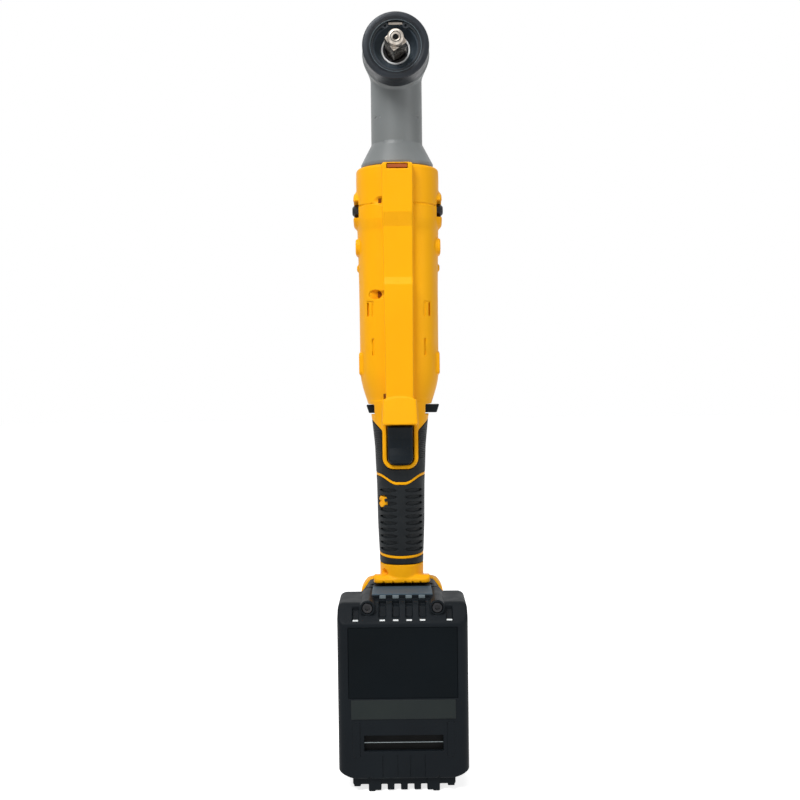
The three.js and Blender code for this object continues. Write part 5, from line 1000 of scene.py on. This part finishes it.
SQUARE_HALF = 4.7625
SQUARE_CORNER = 0.7
SQUARE_TURN = math.radians(34.3)
SQUARE_FRONT = -45.4
NOSE_RADIUS = 4.72
NOSE_FLAT = 3.5
GROOVE_PLACES = (-50.5, -48.5)
GROOVE_RADIUS = 3.6
HOLE_RADIUS = 1.3
HOLE_END = -46.7
DIMPLE_RADIUS = 2.3
DIMPLE_SLOPE = 1.2
SHANK_ENTRY = 5.9
NOSE_SLOPE = 1.3
SHAFT_BACK = 15.5
SHAFT_FRONT = -23.8
SHAFT_RADIUS = 5.0


def ring_field(x, y, z):
    """The split ring that holds the cap, with its two eyes."""
    up = z - DRIVE_Z
    ring = within(disc(x, up, RING_OUTER), -disc(x, up, RING_INNER))
    gap = np.abs(np.arctan2(x, up)) - RING_GAP
    ring = within(ring, -gap * RING_INNER)
    reach = RING_INNER - LUG_INSET
    place = (np.abs(x) - reach * math.sin(LUG_ANGLE), up - reach * math.cos(LUG_ANGLE))
    eye = disc(*place, LUG_RADIUS)
    hole = disc(*place, LUG_HOLE)
    flat = within(join(ring, eye, k=0.8), -hole)
    return prism(flat, y, RING_FRONT, RING_BACK, r=0.25)


def square_field(x, y, z):
    """The output square with its round nose, groove, hole and shaft."""
    up = z - DRIVE_Z
    radius = np.sqrt(x * x + up * up)
    c, s = math.cos(SQUARE_TURN), math.sin(SQUARE_TURN)
    flat = square2(c * x + s * up, c * up - s * x, SQUARE_HALF, SQUARE_HALF, SQUARE_CORNER)
    shank = meet(flat, slab(y, SQUARE_FRONT, SHAFT_FRONT), k=0.3)
    shank = meet(shank, radius - SHANK_ENTRY - (y - SQUARE_FRONT), k=0.3)
    nose = within(radius - NOSE_RADIUS, slab(y, DRIVE_TIP, SQUARE_FRONT + OVERLAP))
    nose = meet(nose, (radius - NOSE_FLAT - (y - DRIVE_TIP) * NOSE_SLOPE) * 0.6, k=0.25)
    low, high = GROOVE_PLACES
    nose = carve(nose, within(slab(y, low, high), GROOVE_RADIUS - radius), k=0.1)
    hole = within(radius - HOLE_RADIUS, y - HOLE_END)
    dimple = radius - DIMPLE_RADIUS - (DRIVE_TIP - y) * DIMPLE_SLOPE
    shaft = prism(radius - SHAFT_RADIUS, y, SHAFT_FRONT - OVERLAP, SHAFT_BACK, r=0.4)
    solid = either(join(nose, shank, k=0.2), shaft)
    return carve(carve(solid, hole, k=0.15), within(dimple, y - DRIVE_TIP - 1.0), k=0.15)


def make_head():
    sculpt("gear_case_casting", gear_case_field, (-23.0, -23.0, 337.0), (23.0, 23.5, 458.2), 0.55,
           "tool", "casting", "gear_case")
    centre = (0.0, 0.0, DRIVE_Z)
    turned("nose_cap_turned", CAP_PROFILE, centre, "y", "tool", "cap", "nose_cap", sides=256)
    turned("nose_bush_turned", BUSH_PROFILE, centre, "y", "tool", "black_steel", "nose_bush")
    sculpt("retaining_ring_split", ring_field, (-16.0, -33.0, 421.0), (16.0, -31.0, 453.2), 0.2, "tool",
           "ring", "retaining_ring")
    # the cone inside the nose, lightened with painted light
    turned("nose_dish_turned", DISH_PROFILE, centre, "y", "tool", "dish", sides=192)
    slab_piece("clip_bar", *CLIP_BAR, "steel", step=0.2, body="tool")
    # a ring of painted highlight at the edge of the cap's recess
    turned("recess_edge_ring", ARC_PROFILE, centre, "y", "tool", "arc", sides=192)
    # the bush's steel lip, white as a painted reflection
    turned("nose_bush_lip", LIP_PROFILE, centre, "y", "tool", "silver")
    # painted shade inside the square's hole
    turned("square_hole_pin", PIN_PROFILE, centre, "y", "square_drive", "void", sides=48)
    turned("square_face_ring", MARK_PROFILE, centre, "y", "square_drive", "ring", sides=72)
    sculpt("drive_square_ground", square_field, (-7.0, -52.0, 430.0), (7.0, 16.0, 444.0), 0.2,
           "square_drive", "steel", "drive_square")


# Controls

# Height and depth of the trigger's face
TRIGGER_FACE = [(188.0, -22.6), (189.2, -23.9), (191.0, -24.5), (194.2, -23.7), (198.4, -22.4),
                (204.2, -22.3), (208.5, -22.8), (211.7, -23.5)]
TRIGGER_HALF = 7.6
TRIGGER_CORNER = 4.5
TRIGGER_BACK = -16.6
TRIGGER_CROWN = 0.014
PLUNGER_RADIUS = 2.5
PLUNGER_END = -8.8

SELECTOR_MIDDLE = 1.8
SELECTOR_UPPER = 22.7
SELECTOR_LOWER = 21.1
SELECTOR_DEPTH = 4.0
TOOTH_PITCH = 2.0
TOOTH_DEPTH = 0.55
TOOTH_MARGIN = 0.6

BOLT_HEAD = 4.2
BOLT_REACH = 28.1
BOLT_SEAT = 24.2
BOLT_SHANK = 2.0
BOLT_END = 19.8
BOLT_SOCKET = 2.1
BOLT_CHAMFER = 1.9
BOLT_SOCKET_DEPTH = 1.5
BOLT_ROOM = (19.4, 28.6, 4.5)  # ends and half height of the space that holds a bolt


def trigger_field(x, y, z):
    """The paddle with its hollowed face, and its plunger."""
    high = TRIGGER_HIGH + 2 * BEYOND
    flat = upright(x, z, TRIGGER_HALF, TRIGGER_LOW, high, TRIGGER_CORNER)
    flat = within(flat, z - TRIGGER_HIGH)
    face = along(TRIGGER_FACE, z) + TRIGGER_CROWN * x * x - y
    paddle = meet(meet(flat, face, k=1.5), y - TRIGGER_BACK, k=0.6)
    middle = (TRIGGER_LOW + TRIGGER_HIGH) / 2
    plunger = prism(disc(x, z - middle, PLUNGER_RADIUS), y, TRIGGER_BACK - OVERLAP, PLUNGER_END, r=0.3)
    return join(paddle, plunger, k=0.4)


def selector_field(x, y, z):
    """The direction bar with slanted, toothed ends."""
    wide = np.abs(x - SELECTOR_MIDDLE)
    side = edge_line(wide, z, (SELECTOR_LOWER, SELECTOR_LOW), (SELECTOR_UPPER, SELECTOR_HIGH))
    teeth = TOOTH_DEPTH * np.abs((y / TOOTH_PITCH) % 1 - 0.5) * 2
    toothed = np.abs(y) < SELECTOR_DEPTH - TOOTH_MARGIN
    bar = within(side + teeth * toothed, slab(y, -SELECTOR_DEPTH, SELECTOR_DEPTH))
    return meet(bar, slab(z, SELECTOR_LOW, SELECTOR_HIGH), k=0.5)


def hexagon(u, v, reach):
    """A hexagon in two directions, with corners at this reach."""
    across = reach * math.cos(math.pi / 6)
    turns = (0, math.pi / 3, 2 * math.pi / 3)
    flats = [np.abs(u * math.cos(turn) + v * math.sin(turn)) for turn in turns]
    return within(*flats) - across


def bolt_field(x, y, z):
    """A side bolt: six-sided dished head and shank."""
    wide, up = np.abs(x), z - BOLT_Z
    radius = np.sqrt(y * y + up * up)
    head = within(hexagon(y, up, BOLT_HEAD), slab(wide, BOLT_SEAT, BOLT_REACH))
    head = meet(head, (radius + wide - BOLT_HEAD - BOLT_REACH + BOLT_CHAMFER) * 0.7, k=0.2)
    socket = within(hexagon(up, y, BOLT_SOCKET), BOLT_REACH - BOLT_SOCKET_DEPTH - wide)
    shank = prism(radius - BOLT_SHANK, wide, BOLT_END, BOLT_SEAT + OVERLAP / 2, r=0.2)
    return either(carve(head, socket, k=0.1), shank)


def make_controls():
    sculpt("trigger_paddle", trigger_field, (-8.0, -25.2, 187.5), (8.0, -8.4, 212.2), 0.24, "trigger",
           "slate", "trigger")
    sculpt("selector_bar", selector_field, (-21.4, -4.4, 218.6), (25.0, 4.4, 224.6), 0.2, "selector",
           "slate", "selector")
    near, far, room = BOLT_ROOM
    for side, name in SIDES:
        low, high = sorted((side * near, side * far))
        sculpt(f"side_bolt_head_{name}", bolt_field, (low, -room, BOLT_Z - room),
               (high, room, BOLT_Z + room), 0.17, "tool", "black_steel", f"side_bolt_{name}")


# Battery pack

PACK_HALF = 38.1
CASE_HALF = 24.0
BLOCK_HALF = 19.9
SHOULDER_Z = 106.8
BOX_CORNER = 5.0
SLANT = 0.707  # cosine of the upper shoulders' 45 degrees
PACK_TOP_EDGE = 0.9
SLOPE_TOP = (-45.0, 109.3)
SLOPE_FOOT = (-57.0, 99.5)
BOX_LOW = 8.5
LOWER_CORNER = ((29.5, 8.3), (37.9, 12.2))
BAR_FRONT = -36.6
BAR_BACK = -7.6
BAR_HALF = 18.2
BAR_HIGH = 112.3
BAR_ROOT = 100.0
SLOT_PLACES = (-11.7, -3.9, 3.9, 11.7)
SLOT_HALF = 2.1
SLOT_LOW = 102.1
SLOT_BACK = -38.6
SLOT_DEPTH = 2.5
# Place, half width, lower end and back of the outer slots, and how much shallower they are
SIDE_SLOT = (27.3, 1.9, 100.8, -47.0, 0.6)
LABEL = (31.9, 55.4, 97.3, 0.5)  # half width, low, high and depth of the recess in front
STRIP = (30.4, 43.7, 55.0, 0.45)  # the same of the raised strip, with its rise
STRIP_ROOT = -50.0
SMALL_MARKS = (-19.2, -11.5, -3.8, 3.9, 11.6, 19.3)
MARK_BOX = (1.6, 38.6, 41.8, 0.3)  # half width, low, high and depth, as also of the grille
GRILLE = (23.0, 24.7, 34.0, 3.4)
SIDE_PANEL = (27.4, 2.0, 21.3, 41.8, 0.4)  # place, half width, low, high and height of the side panels
FRONT_LINES = (4.0, 12.0)
FRONT_LINE_BOX = (0.3, 5.0, 22.5, 0.35)
# Place, half width, lower end, front and back of the outer teeth
TOOTH = (17.1, 3.7, 0.9, -54.5, -49.0)
# Half width, low and high of the pale tiles on the bar, painted sheen, and of the white pieces on the
# slots' lips, painted glints
TILE_BOX = (1.9, 109.7, 111.7)
LIP_BOX = (1.6, 100.7, 101.5)
LIP_DEPTHS = (-55.9, -54.6)
INSET = 0.2  # between a trim's rim and that of its recess
LABEL_BACK = 1.5
BAR_FACE_LOW = 111.2
ROD_RISE = 0.4
ROD_HALF = 0.2
DIAGONAL = ((15.5, 4.6), (20.5, 9.0))  # ends of the slanted cuts under the front, as width and height
DIAGONAL_HALF = 0.8
DIAGONAL_DEPTH = 1.2
SCREW_BOSS = (20.4, 107.6, 4.5, -53.0)  # place, height, radius and front of the screws' bosses
BORE_DEPTH = 2.6
NARROW_BORE = (1.4, -42.4)  # radius and back
SCREW_HEAD = 3.0
SCREW_GAP = 0.3
SCREW_HEAD_BACK = 2.3
SCREW_SOCKET = (1.5, 1.6)  # reach and depth
SCREW_SHANK = (1.1, 2.0, -42.8)  # radius, start behind the boss's front, and end
SCREW_ROOM = 3.4
PANEL_HALF = 30.0
PANEL_HEIGHTS = (4.2, 12.0)
PANEL_FRONT = -54.0
INNER_PANEL = (23.7, (-30.0, 7.0))  # half width and depths of the panel's narrower part
RIB_ROOT = 9.0
RIB_HALF = 2.0
# Place from the middle and lower end of the ribs under the pack
END_RIBS = [(0.0, 0.9), (7.8, 0.9), (18.8, 0.0), (27.4, 3.1)]
RAIL_HEIGHTS = (16.3, 92.3)
# Half width and depths of the rails
RAIL_NECK = (16.0, (0.0, 11.5))
RAIL_BED = (20.0, (11.0, 14.4))
KNOB = (18.4, 113.0, 1.3)  # place, top and radius of the knobs beside the bar


def pack_box(x, y, z):
    """The wide box with its sloped upper front edge and drawn-in lower corners."""
    wide = np.abs(x)
    middle, half = (PACK_FRONT + BOX_BACK) / 2, (BOX_BACK - PACK_FRONT) / 2
    plan = square2(x, y - middle, PACK_HALF, half, BOX_CORNER)
    box = meet(plan, slab(z, BOX_LOW, PACK_HIGH), k=1.4)
    box = meet(box, (wide + z - PACK_HALF - PACK_HIGH + PACK_TOP_EDGE) * SLANT, k=2.2)
    box = meet(box, edge_line(y, z, SLOPE_TOP, SLOPE_FOOT), k=1.6)
    return meet(box, edge_line(wide, z, *LOWER_CORNER), k=1.2)


def rail_case(x, y, z):
    """The narrower block behind the box, with the rails on its back and the bar on its top."""
    wide = np.abs(x)
    sides = within(wide - CASE_HALF, slab(z, PACK_LOW, BLOCK_HIGH))
    slanted = edge_line(wide, z, (CASE_HALF, SHOULDER_Z), (BLOCK_HALF, BLOCK_HIGH))
    outline = meet(sides, slanted, k=1.0)
    block = meet(outline, slab(y, BAR_BACK, PACK_BACK), k=1.2)
    lower = within(outline, slab(y, BOX_BACK - 2, BAR_BACK + 2), z - BAR_HIGH)
    bar = even_brick(x, y, z, BAR_HALF, (BAR_FRONT, BAR_BACK + 2), (BAR_ROOT, BAR_HIGH), r=1.3)
    neck = even_brick(x, y, z, *RAIL_NECK, RAIL_HEIGHTS, r=0.3)
    rail = even_brick(x, y, z, *RAIL_BED, RAIL_HEIGHTS, r=0.6)
    place, height, radius = KNOB
    knob = prism(disc(wide - place, z - height + radius, radius), y, BAR_BACK - 1.6, BAR_BACK + 1,
                 r=0.4)
    whole = either(join(block, lower), join(neck, rail, k=0.2))
    return either(join(whole, bar, k=0.5), knob)


def end_panel(x, y, z):
    """The panel and ribs under the pack."""
    wide = np.abs(x)
    half, (_, inner_back) = INNER_PANEL
    parts = [even_brick(x, y, z, PANEL_HALF, (PANEL_FRONT, BOX_BACK), PANEL_HEIGHTS, r=0.8),
             even_brick(x, y, z, *INNER_PANEL, PANEL_HEIGHTS, r=0.8)]
    for place, low in END_RIBS:
        back = BOX_BACK if place > half else inner_back
        rib = upright(wide - place, z, RIB_HALF, low, RIB_ROOT, r=0.6)
        parts.append(within(rib, slab(y, PANEL_FRONT, back)))
    return either(*parts)


def front_marks(x, y, z):
    """What is cut into the pack's front and slope."""
    wide = np.abs(x)
    cuts = []
    for half, low, high, deep in (LABEL, GRILLE):
        cuts.append(even_brick(x, y, z, half, (-FAR, PACK_FRONT + deep), (low, high), r=0.2))
    half, low, high, deep = MARK_BOX
    for place in SMALL_MARKS:
        cuts.append(brick(x, y, z, (place - half, -FAR, low), (place + half, PACK_FRONT + deep, high)))
    slope = edge_line(y, z, SLOPE_TOP, SLOPE_FOOT)
    under = -(within(slope, z - PACK_HIGH) + SLOT_DEPTH)
    for place in SLOT_PLACES:
        cuts.append(within(np.abs(x - place) - SLOT_HALF, SLOT_LOW - z, y - SLOT_BACK, under))
    half, low, high, deep = FRONT_LINE_BOX
    for place in FRONT_LINES:
        cuts.append(within(upright(wide - place, z, half, low, high), y - PACK_FRONT - deep))
    place, half, low, back, shallower = SIDE_SLOT
    cuts.append(within(np.abs(wide - place) - half, low - z, y - back, under + shallower))
    start, end = DIAGONAL
    cuts.append(within(np.abs(edge_line(wide, z, start, end)) - DIAGONAL_HALF,
                       slab(wide, start[0], end[0]), y - PACK_FRONT - DIAGONAL_DEPTH))
    return either(*cuts)


def pack_field(x, y, z):
    """The whole pack, before it is parted in two."""
    wide = np.abs(x)
    whole = join(pack_box(x, y, z), rail_case(x, y, z), k=0.6)
    whole = join(whole, end_panel(x, y, z), k=0.6)
    half, low, high, rise = STRIP
    strip = even_brick(x, y, z, half, (PACK_FRONT - rise, STRIP_ROOT), (low, high), r=0.4)
    place, half, low, high, rise = SIDE_PANEL
    panel = prism(upright(wide - place, z, half, low, high, r=0.3), y, PACK_FRONT - rise, STRIP_ROOT, r=0.3)
    place, half, low, front, back = TOOTH
    tooth = prism(upright(wide - place, z, half, low, RIB_ROOT, r=0.4), y, front, back, r=0.4)
    whole = either(whole, strip, panel, tooth)
    place, height, radius, front = SCREW_BOSS
    u, v = wide - place, z - height
    whole = join(whole, prism(disc(u, v, radius), y, front, BOX_BACK, r=0.6), k=0.5)
    bore = within(disc(u, v, SCREW_HEAD + SCREW_GAP), slab(y, PACK_FRONT - FAR, front + BORE_DEPTH))
    radius, back = NARROW_BORE
    narrow = within(disc(u, v, radius), slab(y, PACK_FRONT - FAR, back))
    whole = carve(whole, either(bore, narrow), k=0.2)
    return carve(whole, front_marks(x, y, z), k=0.35)


def tub_field(x, y, z):
    """The front part of the pack."""
    return meet(pack_field(x, y, z), y - PACK_SPLIT - SEAM, SEAM_ROUND)


def back_case_field(x, y, z):
    """The rear part of the pack."""
    return meet(pack_field(x, y, z), PACK_SPLIT + SEAM * 2 - y, SEAM_ROUND)


def pack_screw_field(side):
    """A pack screw on one side."""
    place, height, _, front = SCREW_BOSS

    def field(x, y, z):
        u, v = x - side * place, z - height
        head = prism(disc(u, v, SCREW_HEAD), y, front + SCREW_GAP, front + SCREW_HEAD_BACK, r=0.5)
        reach, floor = SCREW_SOCKET
        socket = within(hexagon(u, v, reach), y - front - floor)
        radius, start, end = SCREW_SHANK
        shank = prism(disc(u, v, radius), y, front + start, end, r=0.2)
        return either(carve(head, socket, k=0.1), shank)
    return field


def make_pack():
    sculpt("pack_tub_shell", tub_field, (-38.4, -58.0, -0.3), (38.4, PACK_SPLIT + 0.5, 113.5), 0.55,
           "battery", "pack_black", "pack_tub")
    sculpt("pack_rail_shell", back_case_field, (-38.4, PACK_SPLIT - 0.5, -0.3), (38.4, 15.2, 115.2),
           0.65, "battery", "pack_black", "pack_rail_case")
    place, height, _, front = SCREW_BOSS
    for side, name in SIDES:
        low = (side * place - SCREW_ROOM, front - 0.2, height - SCREW_ROOM)
        high = (side * place + SCREW_ROOM, -42.5, height + SCREW_ROOM)
        sculpt(f"pack_screw_head_{name}", pack_screw_field(side), low, high, 0.18, "battery",
               "black_steel", f"{name}_pack_screw")
    make_pack_trim()


def slab_piece(name, low, high, look, r=0.25, step=0.3, body="battery"):
    """A small rounded block."""
    margin = step * 2
    near = [corner - margin for corner in low]
    far = [corner + margin for corner in high]
    return sculpt(name, lambda x, y, z: brick(x, y, z, low, high, r), near, far, step, body, look)


def front_slab(name, middle, half, depths, heights, look, r=0.25, step=0.3):
    """A block on the pack, so wide to both sides of its middle."""
    slab_piece(name, (middle - half, depths[0], heights[0]), (middle + half, depths[1], heights[1]),
               look, r, step)


def make_pack_trim():
    """Label blank and strip, and pieces of painted light and shade: a sheen on the bar's top and on the
    tiles, glints on the slots' lips, the grille's dark floor and the highlight on its rod.
    """
    half, low, high, _ = LABEL
    front_slab("label_blank", 0.0, half - INSET, (PACK_FRONT + INSET, PACK_FRONT + LABEL_BACK),
               (low + INSET, high - INSET), "label", step=0.5)
    half, low, high, rise = STRIP
    front_slab("raised_strip", 0.0, half, (PACK_FRONT - rise - 0.1, PACK_FRONT + 1), (low, high),
               "strip", step=0.4)
    # a thin light slab on the bar's top: painted reflection
    front_slab("smooth_bar", 0.0, BAR_HALF - INSET, (BAR_FRONT + 0.3, BAR_BACK),
               (BAR_FACE_LOW, BAR_HIGH + 0.1), "bar", 0.5)
    half, low, high = TILE_BOX
    # pale squares on the bar's front: painted sheen
    for number, place in enumerate(SLOT_PLACES, 1):
        front_slab(f"tile_{number}", place, half, (BAR_FRONT - 0.4, BAR_FRONT + 1), (low, high), "tile")
    # white pieces on the slots' lower lips: painted glints
    half, low, high = LIP_BOX
    for number, place in enumerate(SLOT_PLACES + (-SIDE_SLOT[0], SIDE_SLOT[0]), 1):
        front_slab(f"slot_lip_{number}", place, half, LIP_DEPTHS, (low, high), "lip", 0.2, 0.2)
    half, low, high, deep = GRILLE
    floor = PACK_FRONT + deep
    # a near-black slab on the grille's floor: painted shade in the recess
    front_slab("grille_floor", 0.0, half + INSET, (floor - 0.3, floor + 1), (low - INSET, high + INSET),
               "void", 0.1)
    # the rod across the grille, pale as a painted highlight
    middle = (low + high) / 2 + ROD_RISE
    front_slab("grille_rod", 0.0, half + INSET, (PACK_FRONT + 0.7, PACK_FRONT + 1.3),
               (middle - ROD_HALF, middle + ROD_HALF), "rod", 0.15, 0.15)


def lens_field(x, y, z):
    """The lamp's window, coloured orange-brown as painted shade of the yellow plastic behind it."""
    return brick(x, y, z, *LENS_BOX, r=0.4)


# Low and high corners of the dark brown slabs in the three screw holes in front, painted shade where the
# holes' floors lie in shadow
HOLE_FLOORS = [
    ((-11.6, -22.6, 346.4), (-9.8, -21.7, 349.2)),
    ((-12.6, -18.6, 290.0), (-9.6, -16.4, 293.5)),
    ((-9.9, -21.4, 227.7), (-8.4, -20.3, 231.5)),
]
# The two screws in the handle: how far their faces lie inside and behind those of the solids, and
# their profile of radius and place along x
HANDLE_SCREWS = ("grip_screw", "stub_screw")
HANDLE_SCREW_INSET = 0.3
HANDLE_SCREW_SHIFT = 1.2
HANDLE_SCREW_PROFILE = [(0.05, 0.9), (0.6, 0.9), (0.7, 0.0), (1.2, 0.0), (1.35, 0.2), (1.35, 1.9),
                        (1.0, 2.0), (1.0, 14.2), (0.05, 14.3)]
LENS_BOX = ((-6.0, -29.6, 366.45), (6.0, -26.8, 368.6))


def make_small():
    for node in HANDLE_SCREWS:
        low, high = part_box(node)
        face = (low.x / MM + HANDLE_SCREW_INSET, (low.y + high.y) / 2 / MM + HANDLE_SCREW_SHIFT,
                (low.z + high.z) / 2 / MM)
        turned(f"{node}_turned", HANDLE_SCREW_PROFILE, face, "x", "tool", "black_steel", node, sides=48)
    # dark slabs of painted shade in the screw holes
    for number, (low, high) in enumerate(HOLE_FLOORS):
        slab_piece(f"hole_floor_{number + 1}", low, high, "umber", 0.3, 0.25, "tool")
    sculpt("light_window", lens_field, (-6.4, -30.1, 366.0), (6.4, -26.4, 369.0), 0.2, "tool", "lens",
           "light_lens")


# Room, light and camera

CAMERA_DISTANCE = 680.0
CAMERA_HEIGHT = 251.8
CAMERA_PITCH = math.radians(2.1)
CAMERA_ROLL = math.radians(0.68)
CAMERA_LENS = 48.87
CAMERA_SIDE = 0.1
FLOOR_SIZE = 8.0
BACKDROP = 1.0
ROOM_LIGHT = 0.23
FLOOR_GLOW = 0.76
FLOOR_GREYS = ((0.86, 0.86, 0.86, 1), (0.9, 0.9, 0.9, 1))
WHITE = (1, 1, 1, 1)
SENSOR_WIDTH = 36.0
# Power in watts, size and place in metres
LAMPS = {
    "key_left": (15.0, (0.5, 0.6), (-0.5, -0.92, 1.28)),
    "fill_right": (3.4, (0.5, 1.1), (1.1, -0.7, 0.55)),
    "top_soft": (4.6, (0.8, 0.8), (-0.1, -0.2, 1.3)),
}
LAMP_TARGET = (0.0, 0.0, 0.25)


def seen_share(tree):
    """A socket that is 1 where a ray comes from the camera, through glass or off a glossy surface."""
    path = tree.nodes.new("ShaderNodeLightPath").outputs
    total = path["Is Camera Ray"]
    for ray in ("Is Transmission Ray", "Is Glossy Ray"):
        node = tree.nodes.new("ShaderNodeMath")
        node.operation = "ADD"
        node.use_clamp = True
        tree.links.new(total, node.inputs[0])
        tree.links.new(path[ray], node.inputs[1])
        total = node.outputs[0]
    return total


def make_room():
    world = bpy.data.worlds.new("plain_room")
    bpy.context.scene.world = world
    world.use_nodes = True
    tree = world.node_tree
    level = tree.nodes.new("ShaderNodeMapRange")
    level.inputs["To Min"].default_value = ROOM_LIGHT
    level.inputs["To Max"].default_value = BACKDROP
    tree.links.new(seen_share(tree), level.inputs["Value"])
    back = tree.nodes["Background"]
    tree.links.new(level.outputs["Result"], back.inputs["Strength"])
    back.inputs["Color"].default_value = WHITE


def make_floor():
    mesh = bpy.data.meshes.new("floor")
    half = FLOOR_SIZE / 2
    corners = [(-half, -half, 0), (half, -half, 0), (half, half, 0), (-half, half, 0)]
    mesh.from_pydata(corners, [], [(0, 1, 2, 3)])
    floor = placed("floor", mesh)
    nodes = Nodes("floor_paper")
    tint = nodes.mixed(nodes.noise(3.0), *FLOOR_GREYS)
    glow = nodes.calc("MULTIPLY", seen_share(nodes.tree), FLOOR_GLOW)
    mesh.materials.append(nodes.set(Base_Color=tint, Roughness=0.9, Specular_IOR_Level=0.1,
                                    Emission_Color=WHITE, Emission_Strength=glow))


def make_lights():
    for name, (power, size, place) in LAMPS.items():
        light = bpy.data.lights.new(name, "AREA")
        light.energy = power
        light.shape = "RECTANGLE"
        light.size, light.size_y = size
        piece = placed(name, light)
        piece.location = place
        aim = Vector(LAMP_TARGET) - Vector(place)
        piece.rotation_euler = aim.to_track_quat("-Z", "Y").to_euler()


def make_camera():
    data = bpy.data.cameras.new("camera")
    data.sensor_width = SENSOR_WIDTH
    data.lens = CAMERA_LENS
    camera = placed("camera", data)
    tilt = Matrix.Rotation(math.pi / 2 - CAMERA_PITCH, 4, "X")
    spin = Matrix.Rotation(-CAMERA_ROLL, 4, "Z")
    place = Vector((CAMERA_SIDE * MM, (AXIS_Y - CAMERA_DISTANCE) * MM, CAMERA_HEIGHT * MM))
    camera.matrix_world = Matrix.Translation(place) @ tilt @ spin
    bpy.context.scene.camera = camera


# The CAD's own pieces that stay

def dress_nodes():
    """Gives every CAD piece its slot's material."""
    for entry in frame["record"]["subparts"]:
        mesh = frame["nodes"][entry["node"]].data
        mesh.materials.clear()
        mesh.materials.append(MATERIALS[entry["material_slot"]])


make_room()
make_floor()
make_lights()
make_camera()
make_housing()
make_grip()
make_head()
make_controls()
make_pack()
make_small()
dress_nodes()
bpy.context.scene.view_settings.view_transform = "Standard"
